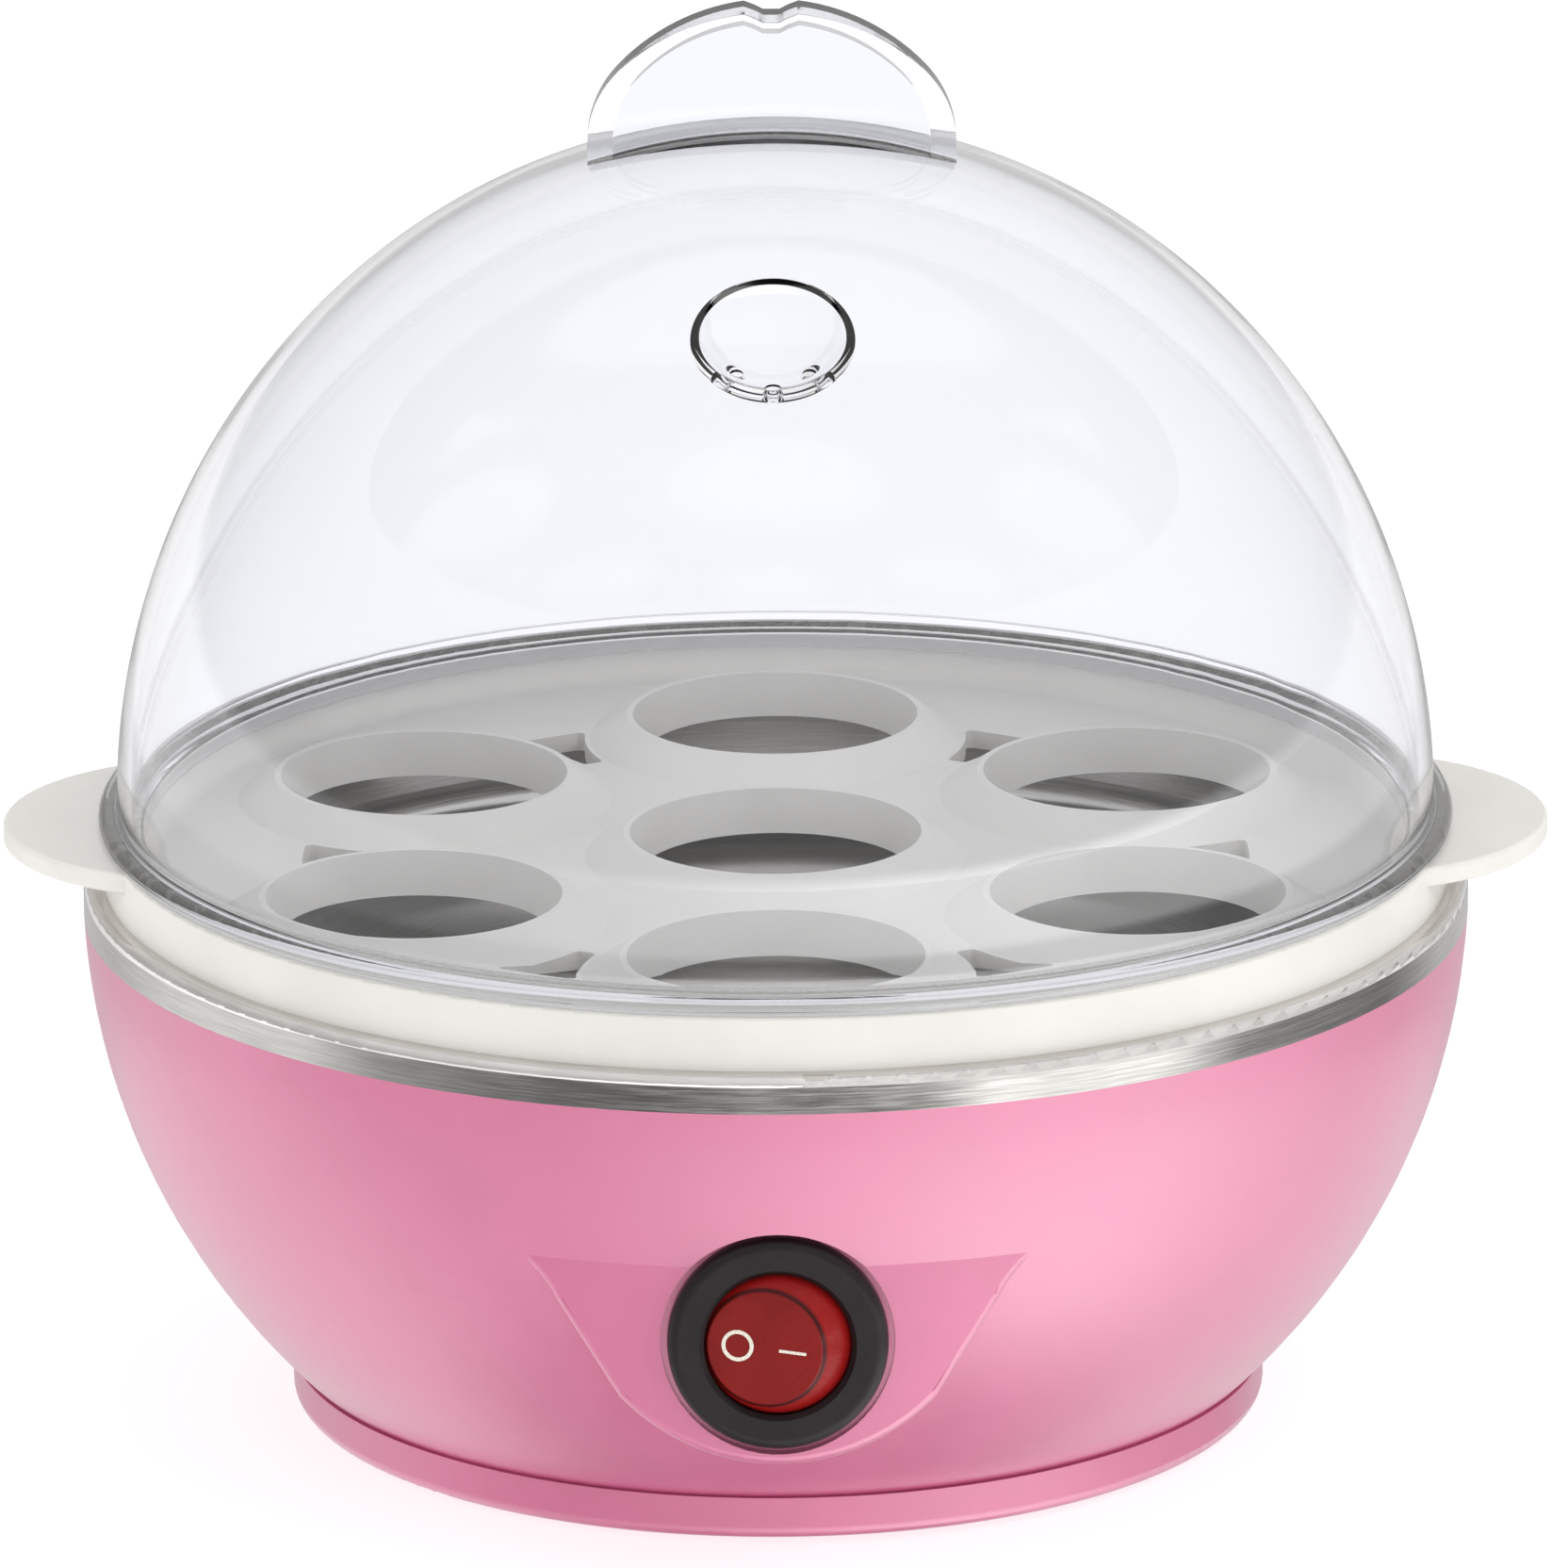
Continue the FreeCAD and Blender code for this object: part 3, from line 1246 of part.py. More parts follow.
def lid():
    well_slope = "tray_slope / (tray_height - tray_floor_rise)"
    collar = f"({WELL_TOP} - collar_depth * {well_slope} - collar_gap)"
    collar_foot = f"({TRAY_TOP} - collar_depth)"
    flange = f"({TRAY_RADIUS} + flange_overlap)"
    half = "(flange_thickness / 2)"
    outside = turned(arch(DOME_RADIUS, "dome_height", EQUATOR, collar_foot, [
        (collar, collar_foot),
        (collar, TRAY_TOP),
        (f"{flange} - {half}", TRAY_TOP, half, 1),
        (flange, f"{TRAY_TOP} + {half}", half, 1),
        (f"{flange} - {half}", f"{TRAY_TOP} + flange_thickness"),
        (f"{DOME_RADIUS} + dome_foot", f"{TRAY_TOP} + flange_thickness", "dome_foot", -1),
    ]))
    inside_radius = f"({DOME_RADIUS} - lid_wall)"
    inside_foot = f"({collar_foot} - 1)"
    inside = turned(arch(inside_radius, "dome_height - lid_wall", EQUATOR, inside_foot, [
        (f"{collar} - collar_wall", inside_foot),
        (f"{collar} - collar_wall", f"{TRAY_TOP} + 1"),
    ]))
    fin = fin_block("fin_half_width", "fin_height", "(fin_thickness / 2)", "(fin_end_thickness / 2)")
    core = fin_block("(fin_half_width - 2 * fin_wall)", "(fin_height - fin_wall)",
                     "(fin_thickness / 2 - fin_wall)", "0.3")

    _, crown = oval_quarter(DOME_RADIUS, "dome_height")
    out = f"({crown} + cup_rise)"
    crown_centre = f"({APEX} - {crown})"
    cup_at = ("0", f"0 - {out} * sin(cup_angle)", f"{crown_centre} + {out} * cos(cup_angle)")
    solid = fuse(outside, fin)
    hollow = cut(fuse(inside, core), sphere("cup_radius + lid_wall", cup_at))
    below = "-2 * cup_radius"
    holes = [cylinder("cup_hole_radius", "2 * cup_radius", (*on_circle("cup_hole_circle", angle), below))
             for angle in (-30, -90, -150)]
    drills = place(group(holes), cup_at, (X_AXIS, "cup_angle"))
    return cut(solid, hollow, sphere("cup_radius", cup_at), drills)


# ---------------------------------------------------------------- build, check and write

for make in (base_shell, bottom_cover, rubber_feet, cover_screws,
             heating_pan, pan_seal, pan_studs, pan_nuts, heat_spreader, heating_element,
             thermostat_body, thermostat_cap, thermostat_terminals,
             thermostat_bracket, bracket_studs, bracket_nuts,
             switch_housing, switch_terminals, spade_sleeves, contact_blade,
             rocker, rocker_marks, rocker_plunger, rocker_spring, indicator_lamp,
             cord_gland, terminal_block, thermal_fuse, fuse_sleeve, earth_tag,
             egg_tray, lid):
    keep(make.__name__, make())
wiring()
doc.recompute()

failed = [thing.Label for thing in doc.Objects if {"Invalid", "Error"} & set(thing.State)]
for name, thing in nodes.items():
    shape = thing.Shape
    if shape.isNull() or not shape.isValid() or not shape.Solids or shape.Volume <= 0:
        failed.append(name)
if failed:
    raise RuntimeError(f"failed objects: {failed}")

os.makedirs("parts", exist_ok=True)
for name, thing in nodes.items():
    thing.Shape.exportStep(f"parts/{name}.step")
print(f"{len(nodes)} sub-parts written")
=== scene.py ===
# %% [markdown]
# # An electric egg cooker, dressed for the studio
# The frame holds every part of the cooker at its true place, in metres. This lesson sets up the camera
# and a plain studio, gives each part a finish made of shader nodes, and models the clear lid again,
# because its surface deserves a finer mesh than the frame carries.

import math

import bpy
from mathutils import Matrix, Vector


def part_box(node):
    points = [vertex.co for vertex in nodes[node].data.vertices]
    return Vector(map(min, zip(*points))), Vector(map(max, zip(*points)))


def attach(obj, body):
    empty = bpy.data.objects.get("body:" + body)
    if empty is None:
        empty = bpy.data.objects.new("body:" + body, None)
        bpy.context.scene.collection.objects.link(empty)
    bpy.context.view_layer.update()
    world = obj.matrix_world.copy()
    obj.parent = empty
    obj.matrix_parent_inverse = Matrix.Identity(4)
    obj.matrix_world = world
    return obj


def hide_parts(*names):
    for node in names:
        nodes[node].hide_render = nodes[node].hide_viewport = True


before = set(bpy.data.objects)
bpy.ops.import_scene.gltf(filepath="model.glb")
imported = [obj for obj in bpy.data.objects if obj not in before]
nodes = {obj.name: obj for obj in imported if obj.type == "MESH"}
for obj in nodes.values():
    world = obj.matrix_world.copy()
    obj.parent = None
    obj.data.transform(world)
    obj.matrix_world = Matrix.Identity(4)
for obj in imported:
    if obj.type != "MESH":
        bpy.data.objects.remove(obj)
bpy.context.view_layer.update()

# %% [markdown]
# ## The camera
# A small object looks calm through a long lens from far away, because near and far parts then keep
# nearly the same size. The camera stands two metres in front, looks down on the cooker by seventeen
# degrees, and leans by a hair, so that the bowl doesn't stand stiffly upright.

# %% Camera
CAMERA_DISTANCE = 2.0
CAMERA_ELEVATION = math.radians(16.9)
CAMERA_LEAN = math.radians(0.3)
SENSOR_WIDTH = 36.0
LENS = 430.0
AIM_ACROSS, AIM_HEIGHT = 0.00093, 0.0679

camera_data = bpy.data.cameras.new("camera")
camera_data.lens = LENS
camera_data.sensor_width = SENSOR_WIDTH
camera = bpy.data.objects.new("camera", camera_data)
bpy.context.scene.collection.objects.link(camera)
aim = Vector((AIM_ACROSS, 0.0, AIM_HEIGHT))
sight = Vector((0.0, math.cos(CAMERA_ELEVATION), -math.sin(CAMERA_ELEVATION)))
camera.location = aim - CAMERA_DISTANCE * sight
turn = sight.to_track_quat("-Z", "Y").to_matrix()
camera.rotation_euler = (turn @ Matrix.Rotation(-CAMERA_LEAN, 3, "Z")).to_euler()
bpy.context.scene.camera = camera
print("camera at", [round(c, 3) for c in camera.location])

# %% [markdown]
# ## Wiring shader nodes like sums
# A finish is a small network of nodes. Writing each link by hand hides the idea behind bookkeeping, so
# a `Signal` wraps one output and takes part in ordinary sums, and a `Bench` makes any other node from
# its type, its settings, and what goes into its sockets.

# %% Signals and the bench
class Signal:
    """One output of a node, which takes part in sums with numbers and other signals."""

    def __init__(self, bench, socket):
        self.bench, self.socket = bench, socket

    def math(self, operation, *others):
        """This signal with the others, through one Math node."""
        values = dict(enumerate((self,) + others))
        return self.bench.make("ShaderNodeMath", {"operation": operation}, values)

    def __add__(self, other):
        return self.math("ADD", other)

    def __sub__(self, other):
        return self.math("SUBTRACT", other)

    def __rsub__(self, other):
        return self.bench.make("ShaderNodeMath", {"operation": "SUBTRACT"}, {0: other, 1: self})

    def __mul__(self, other):
        return self.math("MULTIPLY", other)

    def __truediv__(self, other):
        return self.math("DIVIDE", other)

    def __pow__(self, other):
        return self.math("POWER", other)


class Bench:
    """A node tree that is being wired up."""

    def __init__(self, tree):
        self.tree = tree
        tree.nodes.clear()

    def make(self, kind, settings=None, sockets=None, out=0):
        """Any node, from its type, its settings, and a value or a signal for each of its sockets."""
        node = self.tree.nodes.new(kind)
        for name, value in (settings or {}).items():
            setattr(node, name, value)
        for name, value in (sockets or {}).items():
            socket = node.inputs[name]
            if isinstance(value, Signal):
                self.tree.links.new(value.socket, socket)
            elif isinstance(value, tuple) and len(value) == 3 and socket.type == "RGBA":
                socket.default_value = (*value, 1.0)
            else:
                socket.default_value = value
        return Signal(self, node.outputs[out]) if node.outputs else None

    def blend(self, amount, first, second):
        """Mixes two numbers by an amount."""
        return self.make("ShaderNodeMix", {"data_type": "FLOAT"}, {0: amount, 2: first, 3: second})

    def places(self):
        """Where a point lies on the cooker, in metres."""
        return self.make("ShaderNodeTexCoord", out="Object")

    def split(self, vector):
        """The x, y and z of a vector."""
        parts = self.make("ShaderNodeSeparateXYZ", None, {0: vector})
        return [Signal(self, output) for output in parts.socket.node.outputs]

    def join(self, x, y, z):
        """A vector from its x, y and z."""
        return self.make("ShaderNodeCombineXYZ", None, {0: x, 1: y, 2: z})

    def noise(self, per_metre, detail=3.0, roughness=0.5, where=None, distortion=0.0):
        """Clouds with so many puffs per metre, finer with more detail."""
        sockets = {"Vector": where or self.places(), "Scale": per_metre, "Detail": detail,
                   "Roughness": roughness, "Distortion": distortion}
        return self.make("ShaderNodeTexNoise", None, sockets)

    def steps(self, amount, low, high, start=0.0, end=1.0):
        """Goes smoothly from start to end while the amount goes from low to high."""
        return self.make("ShaderNodeMapRange", {"interpolation_type": "SMOOTHSTEP"},
                         {0: amount, 1: low, 2: high, 3: start, 4: end})

    def tint(self, amount, first, second):
        """Mixes two colours by an amount."""
        return self.make("ShaderNodeMix", {"data_type": "RGBA"}, {0: amount, 6: first, 7: second}, 2)

    def ramp(self, amount, stops):
        """Greys that follow a list of (position, value) stops."""
        greys = self.make("ShaderNodeValToRGB", None, {0: amount})
        elements = greys.socket.node.color_ramp.elements
        while len(elements) < len(stops):
            elements.new(1.0)
        for element, (position, grey) in zip(elements, stops):
            element.position, element.color = position, (grey, grey, grey, 1.0)
        return greys

    def bump(self, height, depth, under=None):
        """Relief of a depth in metres, laid over the relief under it."""
        sockets = {"Height": height, "Distance": depth, "Strength": 1.0}
        if under:
            sockets["Normal"] = under
        return self.make("ShaderNodeBump", None, sockets)

    def surface(self, sockets, clear_to=None, clear_colour=(1.0, 1.0, 1.0)):
        """Ends the finish in a Principled shader. Where clear_to is 1, light passes straight through."""
        shader = self.make("ShaderNodeBsdfPrincipled", None, sockets)
        if clear_to is not None:
            clear = self.make("ShaderNodeBsdfTransparent", None, {"Color": clear_colour})
            shader = self.make("ShaderNodeMixShader", None, {0: clear_to, 1: shader, 2: clear})
        self.make("ShaderNodeOutputMaterial", None, {"Surface": shader})


def new_finish(name):
    """A new material and its bench."""
    material = bpy.data.materials.new(name + "_finish")
    material.use_nodes = True
    return material, Bench(material.node_tree)


print("bench ready")

# %% [markdown]
# ## The studio floor
# A pale floor runs out of sight on all sides, so there is no horizon behind the cooker. It glows by
# itself, like the lit acrylic table of a product studio, which keeps the shadow under the cooker faint.
# Reflections pass through it, because the next step gives them something better to show. It lies a
# tenth of a millimetre under the feet, so that the two surfaces never share one plane.

# %% Floor
FLOOR_WIDTH = 8.0
FLOOR_GLOW = 0.76
FLOOR_GAP = 0.0001

bpy.ops.object.select_all(action="DESELECT")
bpy.ops.mesh.primitive_plane_add(size=FLOOR_WIDTH, location=(0, 0, -FLOOR_GAP))
floor = bpy.context.object
floor.name = "studio_floor"
floor.visible_glossy = False
floor_paint, bench = new_finish("floor_paint")
mottle = bench.noise(18.0, 4.0)
bench.surface({"Base Color": bench.tint(mottle, (0.34, 0.34, 0.345), (0.38, 0.38, 0.38)),
               "Roughness": bench.steps(mottle, 0.3, 0.7, 0.75, 0.85), "IOR": 1.3,
               "Emission Color": (1.0, 1.0, 1.0), "Emission Strength": FLOOR_GLOW})
floor.data.materials.append(floor_paint)
print("floor", FLOOR_WIDTH, "m wide")

# %% [markdown]
# ## Soft light all round
# The light is a soft dome, brighter to the upper right. Polished steel shows only what stands around
# it: a bright panel to the left, a narrow brighter one to the right, and a dim room between them. The
# satin bowl leans outwards and shows what lies lower, a lit table that is brightest in front and to the
# right. Both are painted into the dome below the horizon, as greys that change with the direction
# around the cooker, where the floor hides them from everything except reflections. Directions run from
# 0 to 1 around the circle, with 0.5 towards the camera.

# %% Dome, panels and lit table
world = bpy.data.worlds.new("studio")
bpy.context.scene.world = world
world.use_nodes = True
bench = Bench(world.node_tree)
x, y, z = bench.split(bench.make("ShaderNodeTexCoord", out="Generated"))
around = x.math("ARCTAN2", 0.0 - y) / (2 * math.pi) + 0.5
panels = bench.ramp(around, [
    (0.0, 0.60), (0.10, 0.60), (0.18, 0.92), (0.26, 0.90), (0.31, 0.38), (0.38, 0.17), (0.46, 0.105),
    (0.54, 0.125), (0.57, 0.26), (0.60, 1.15), (0.68, 1.20), (0.705, 0.72), (0.73, 0.26),
    (0.84, 0.22), (0.90, 0.60), (1.0, 0.60)])
table = bench.ramp(around, [
    (0.0, 0.6), (0.156, 1.3), (0.23, 1.7), (0.29, 1.3), (0.40, 1.4), (0.46, 2.4), (0.51, 3.0),
    (0.55, 3.7), (0.62, 4.4), (0.70, 4.0), (0.76, 2.4), (0.83, 1.3), (1.0, 0.6)])
under_the_cooker = bench.steps(z, -0.97, -0.80, 0.3, 1.0)
height_of_panels = bench.steps(z, -0.38, -0.35) * bench.steps(z, -0.20, -0.23)
low = bench.blend(height_of_panels, table * under_the_cooker, panels)
dome = bench.steps(z, -0.05, 0.9, 0.72, 0.92)
side = bench.steps(x * 0.5 - y * 0.2 + z * 0.4, -0.6, 0.9, 0.82, 1.22)
strength = bench.blend(bench.steps(z, -0.02, 0.03), low, dome * side)
light = bench.make("ShaderNodeBackground", None, {"Color": (1.0, 0.995, 0.99), "Strength": strength})
bench.make("ShaderNodeOutputWorld", None, {"Surface": light})
bpy.context.scene.view_settings.view_transform = "Standard"
print("dome of soft light")

# %% [markdown]
# ## Soft boxes
# Two large lamps give the light a direction: the key to the right, high and in front, and a weaker one
# low on the left. A large lamp close by makes soft shadows. They are hidden from reflections and from
# the clear lid, which would otherwise show their square outlines.

# %% Two soft boxes
LIT_SPOT = Vector((0.0, 0.0, 0.05))


def soft_box(name, place, width, height, watts):
    """A rectangular lamp that faces the cooker."""
    data = bpy.data.lights.new(name, "AREA")
    data.shape, data.size, data.size_y, data.energy = "RECTANGLE", width, height, watts
    lamp = bpy.data.objects.new(name, data)
    bpy.context.scene.collection.objects.link(lamp)
    lamp.location = place
    lamp.visible_glossy = lamp.visible_transmission = False
    lamp.rotation_euler = (LIT_SPOT - Vector(place)).to_track_quat("-Z", "Y").to_euler()


soft_box("key_box", (0.9, -0.7, 1.2), 0.8, 0.8, 5.0)
soft_box("left_box", (-1.3, -0.25, 0.5), 0.5, 0.9, 3.0)
print("two soft boxes")

# %% [markdown]
# ## Moulded plastics
# Injection-moulded plastic is never quite even. The pigment drifts a little, the gloss changes where
# the melt cooled against the tool, and the skin has a very shallow orange-peel waviness with the
# finest scuffs from wiping. One recipe makes all the moulded parts, and each plastic gives its own
# colours, gloss and grain. Noise that is read from each point's own place in metres keeps its real
# scale on every part.

# %% A recipe for moulded plastic
SCUFF_PATTERN = (150.0, 150.0, 2600.0)
SCUFF_DULLING = 0.02
SKIN_TO_GRAIN = 4.0


def moulded(name, dark, pale, gloss, grain_per_metre=2200.0, grain_depth=0.00001, **constants):
    """A pigmented plastic. gloss is its roughness where it is shiniest and where it is dullest."""
    material, bench = new_finish(name)
    pigment = bench.steps(bench.noise(70.0, 4.0, 0.55), 0.3, 0.7)
    skin = bench.noise(420.0, 2.0)
    grain = bench.noise(grain_per_metre, 2.0)
    stretched = [axis * times for axis, times in zip(bench.split(bench.places()), SCUFF_PATTERN)]
    scuffs = bench.steps(bench.noise(1.0, 5.0, 0.7, where=bench.join(*stretched)), 0.56, 0.72)
    dullness = pigment * (gloss[1] - gloss[0]) + gloss[0] + scuffs * SCUFF_DULLING
    relief = bench.bump(skin, SKIN_TO_GRAIN * grain_depth)
    bench.surface({"Base Color": bench.tint(pigment, dark, pale), "Roughness": dullness,
                   "Normal": bench.bump(grain, grain_depth, relief), **constants})
    return material


print("recipe for moulded plastic ready")

# %% [markdown]
# ## Every moulded part
# The bowl and its foot are pink polypropylene under a satin clear coat, which is what lifts their colour
# towards white where the lit table is reflected. The tray is off-white, the bezel and the gland are
# black with a low sheen, and the thermostat's body is brown phenolic. Rubber and silicone are dull, with
# a coarser skin. The leads differ only in their colour code: brown and black are live, blue is neutral
# and green is earth.

# %% Plastics, rubbers and insulation
SATIN_COAT = {"Coat Weight": 1.0, "Coat IOR": 1.6, "Coat Roughness": 0.3}

finishes = {
    "pink_plastic": moulded("pink_plastic", (0.545, 0.115, 0.242), (0.58, 0.128, 0.263), (0.30, 0.38),
                            **SATIN_COAT),
    "white_plastic": moulded("white_plastic", (0.74, 0.725, 0.685), (0.785, 0.77, 0.73), (0.34, 0.44)),
    "black_plastic": moulded("black_plastic", (0.012, 0.009, 0.010), (0.018, 0.014, 0.015), (0.34, 0.44),
                             1500.0, 0.00002, IOR=1.27),
    "black_nylon": moulded("black_nylon", (0.018, 0.018, 0.018), (0.03, 0.03, 0.03), (0.45, 0.55),
                           1300.0, 0.00002),
    "block_nylon": moulded("block_nylon", (0.62, 0.60, 0.53), (0.70, 0.68, 0.60), (0.42, 0.52)),
    "phenolic": moulded("phenolic", (0.035, 0.022, 0.015), (0.07, 0.045, 0.03), (0.4, 0.55),
                        1600.0, 0.00003),
    "sleeve_clear": moulded("sleeve_clear", (0.62, 0.62, 0.58), (0.72, 0.72, 0.68), (0.22, 0.34)),
    "glass_sleeve": moulded("glass_sleeve", (0.66, 0.65, 0.60), (0.80, 0.79, 0.74), (0.55, 0.7),
                            3000.0, 0.00006),
    "rubber": moulded("rubber", (0.022, 0.022, 0.022), (0.04, 0.04, 0.039), (0.62, 0.8), 900.0, 0.00005),
    "silicone": moulded("silicone", (0.52, 0.50, 0.47), (0.60, 0.58, 0.55), (0.5, 0.62), 1200.0, 0.00003),
}
for colour, dark, pale in (("brown", (0.13, 0.05, 0.02), (0.17, 0.07, 0.03)),
                           ("black", (0.015, 0.015, 0.015), (0.03, 0.03, 0.03)),
                           ("blue", (0.015, 0.08, 0.38), (0.025, 0.11, 0.45)),
                           ("green", (0.03, 0.26, 0.06), (0.06, 0.34, 0.09))):
    finishes["lead_" + colour] = moulded("lead_" + colour, dark, pale, (0.35, 0.45))
print(len(finishes), "moulded plastics")

# %% [markdown]
# ## The red rocker and its marks
# The rocker is tinted clear plastic over a small neon bead. Its flat face is a deep red. The edge between
# the face and the round flank beside it carries painted shade, nearly black, and the flank carries
# painted light, a brighter red. How far a point lies below the plane of the flat face tells the three
# apart. The ring and bar are printed on, and the paint lies in a thin, slightly broken film.

# %% Red plastic, paint and the neon bead
# Depths below the flat face, in metres, where the face ends, where the painted shade of the edge begins
# and ends, and where the painted light of the flank begins.
FACE_ENDS, SHADED_RIM_STARTS = 0.00005, 0.0002
SHADED_RIM_ENDS, LIT_FLANK_STARTS = 0.0003, 0.0007


def red_plastic():
    """Deep red on the flat face, painted shade nearly black on its edge, painted light brighter on the
    flank.
    """
    material, bench = new_finish("red_plastic")
    flat = max(nodes["rocker"].data.polygons, key=lambda polygon: polygon.area)
    x, y, z = bench.split(bench.places())
    along = x * flat.normal.x + y * flat.normal.y + z * flat.normal.z
    below_face = flat.center.dot(flat.normal) - along
    grain = bench.noise(1400.0, 3.0)
    tone = bench.steps(bench.noise(160.0, 4.0), 0.3, 0.7)
    face = bench.tint(tone, (0.175, 0.008, 0.008), (0.225, 0.011, 0.010))
    # Painted light: the flank is a brighter red. Painted shade: the edge beside it is nearly black.
    lit_flank = bench.tint(tone, (0.235, 0.007, 0.007), (0.30, 0.009, 0.009))
    shaded_rim_and_lit_flank = bench.tint(bench.steps(below_face, SHADED_RIM_ENDS, LIT_FLANK_STARTS), (0.05, 0.004, 0.004), lit_flank)
    bench.surface({"Base Color": bench.tint(bench.steps(below_face, FACE_ENDS, SHADED_RIM_STARTS), face, shaded_rim_and_lit_flank),
                   "Roughness": bench.steps(grain, 0.3, 0.7, 0.26, 0.38), "IOR": 1.24,
                   "Normal": bench.bump(grain, 0.000012)})
    return material


def printed_white():
    """Cream paint that thins out in places."""
    material, bench = new_finish("mark_white")
    film = bench.noise(5200.0, 3.0)
    bench.surface({"Base Color": bench.tint(bench.steps(film, 0.35, 0.62), (0.66, 0.60, 0.50),
                                            (0.86, 0.82, 0.72)),
                   "Roughness": bench.steps(film, 0.3, 0.7, 0.42, 0.58),
                   "Normal": bench.bump(film, 0.00001)})
    return material


def neon_bead():
    """Blown glass with a faint swirl."""
    material, bench = new_finish("lamp_glass")
    swirl = bench.noise(700.0, 3.0)
    bench.surface({"Base Color": bench.tint(swirl, (0.75, 0.55, 0.42), (0.90, 0.82, 0.74)),
                   "Roughness": bench.steps(swirl, 0.3, 0.7, 0.05, 0.12), "Transmission Weight": 0.6})
    return material


finishes.update({"red_plastic": red_plastic(), "mark_white": printed_white(), "lamp_glass": neon_bead()})
print("red, white and the bead")

# %% [markdown]
# ## Steel that was turned on a lathe
# The pan is spun and polished, so its finest lines run round the axis. The noise is read in a space
# of direction round the axis against height and radius: stretched far along the circle and very fine
# across it, it draws those lines on the band, the rim and the floor alike.

# %% Turned steel
LINES_PER_METRE = 4200.0
BREAKS_AROUND = 9.0
AXIS_CORE = 0.0000001


def turned_steel():
    """Polished steel with the faintest lines around the axis."""
    material, bench = new_finish("stainless_steel")
    x, y, z = bench.split(bench.places())
    radius = (x * x + y * y + AXIS_CORE) ** 0.5
    lines = bench.noise(1.0, 3.0, 0.6, where=bench.join(
        x / radius * BREAKS_AROUND, y / radius * BREAKS_AROUND, (z + radius) * LINES_PER_METRE))
    clouds = bench.noise(45.0, 3.0)
    fine = bench.steps(lines, 0.25, 0.75)
    bench.surface({"Base Color": bench.tint(fine, (0.60, 0.585, 0.565), (0.74, 0.725, 0.705)),
                   "Metallic": 1.0, "Roughness": fine * 0.05 + bench.steps(clouds, 0.3, 0.7, 0.08, 0.12),
                   "Normal": bench.bump(lines, 0.0000008)})
    return material


finishes["stainless_steel"] = turned_steel()
print("turned steel")

# %% [markdown]
# ## The other metals
# Screws and studs are zinc plated, with a faint bluish and yellow bloom. The spreader is rolled
# aluminium, the element's tube has a dark oxide skin, and the terminals are brass that has begun to
# dull. They share one recipe: two tones drifting into each other, and a grain for gloss and relief.

# %% A recipe for metals
def metal(name, first, second, gloss):
    """A metal that drifts between two tones. gloss is its roughness at its shiniest and dullest."""
    material, bench = new_finish(name)
    bloom = bench.noise(300.0, 4.0, 0.6, distortion=0.4)
    grain = bench.noise(2600.0, 3.0)
    bench.surface({"Base Color": bench.tint(bench.steps(bloom, 0.32, 0.68), first, second),
                   "Metallic": 1.0, "Roughness": bench.steps(grain, 0.3, 0.7, *gloss),
                   "Normal": bench.bump(grain, 0.000012)})
    return material


finishes.update({
    "zinc_steel": metal("zinc_steel", (0.60, 0.62, 0.66), (0.68, 0.65, 0.56), (0.26, 0.4)),
    "aluminium": metal("aluminium", (0.72, 0.72, 0.73), (0.80, 0.80, 0.80), (0.3, 0.42)),
    "element_steel": metal("element_steel", (0.13, 0.12, 0.11), (0.24, 0.21, 0.18), (0.42, 0.6)),
    "brass": metal("brass", (0.62, 0.44, 0.19), (0.76, 0.58, 0.28), (0.24, 0.38)),
    "spring_steel": metal("spring_steel", (0.52, 0.52, 0.52), (0.62, 0.61, 0.60), (0.2, 0.3)),
})
print(len(finishes), "finishes so far")

# %% [markdown]
# ## Clear plastic
# The lid is clear styrene. Real refraction through its thin wall gives the dark outline at the edge of
# the dome and the bright ring of the flange by itself. Two touches keep it from looking like ideal
# glass: a very slow waviness left by the flow of the melt, and rays from lamps that pass straight
# through, with a slight tint, so that the tray under the lid is lit without speckle.

# %% Clear styrene
LID_TINT, LID_SHADE = (0.922, 0.928, 0.955), (0.965, 0.967, 0.975)


def clear_plastic():
    """Refracting plastic that lets rays from lamps straight through."""
    material, bench = new_finish("clear_plastic")
    flow = bench.noise(26.0, 2.0, distortion=0.6)
    haze = bench.noise(120.0, 4.0)
    lamp_ray = bench.make("ShaderNodeLightPath", out="Is Shadow Ray")
    bench.surface({"Base Color": LID_TINT, "Roughness": bench.steps(haze, 0.45, 0.75, 0.0, 0.012),
                   "IOR": 1.5, "Transmission Weight": 1.0, "Normal": bench.bump(flow, 0.00004)},
                  clear_to=lamp_ray, clear_colour=LID_SHADE)
    return material


finishes["clear_plastic"] = clear_plastic()
print("clear styrene")

# %% [markdown]
# ## Dressing the frame
# Each part of the frame names its material slots after what the real part is made of, so the finishes
# find their parts by name. A slot without a finish would stop the script here.

# %% Put each finish on its parts
for part in nodes.values():
    for slot in part.material_slots:
        slot.material = finishes[slot.material.name]
print("dressed", len(nodes), "parts")

# %% [markdown]
# ## The lid, turned again
# Clear plastic shows every facet of its mesh twice, once on each side of the wall, so the lid is
# modelled again with a much finer skin. The dome is a body of revolution: its half outline is drawn
# with short steps from a single point and spun about the axis, once for the outside and once for the
# hollow. The handle is a half-moon slab, rounded to a lens from above. Boolean modifiers join and
# hollow them, as the mould's core and cavity do on the real lid.

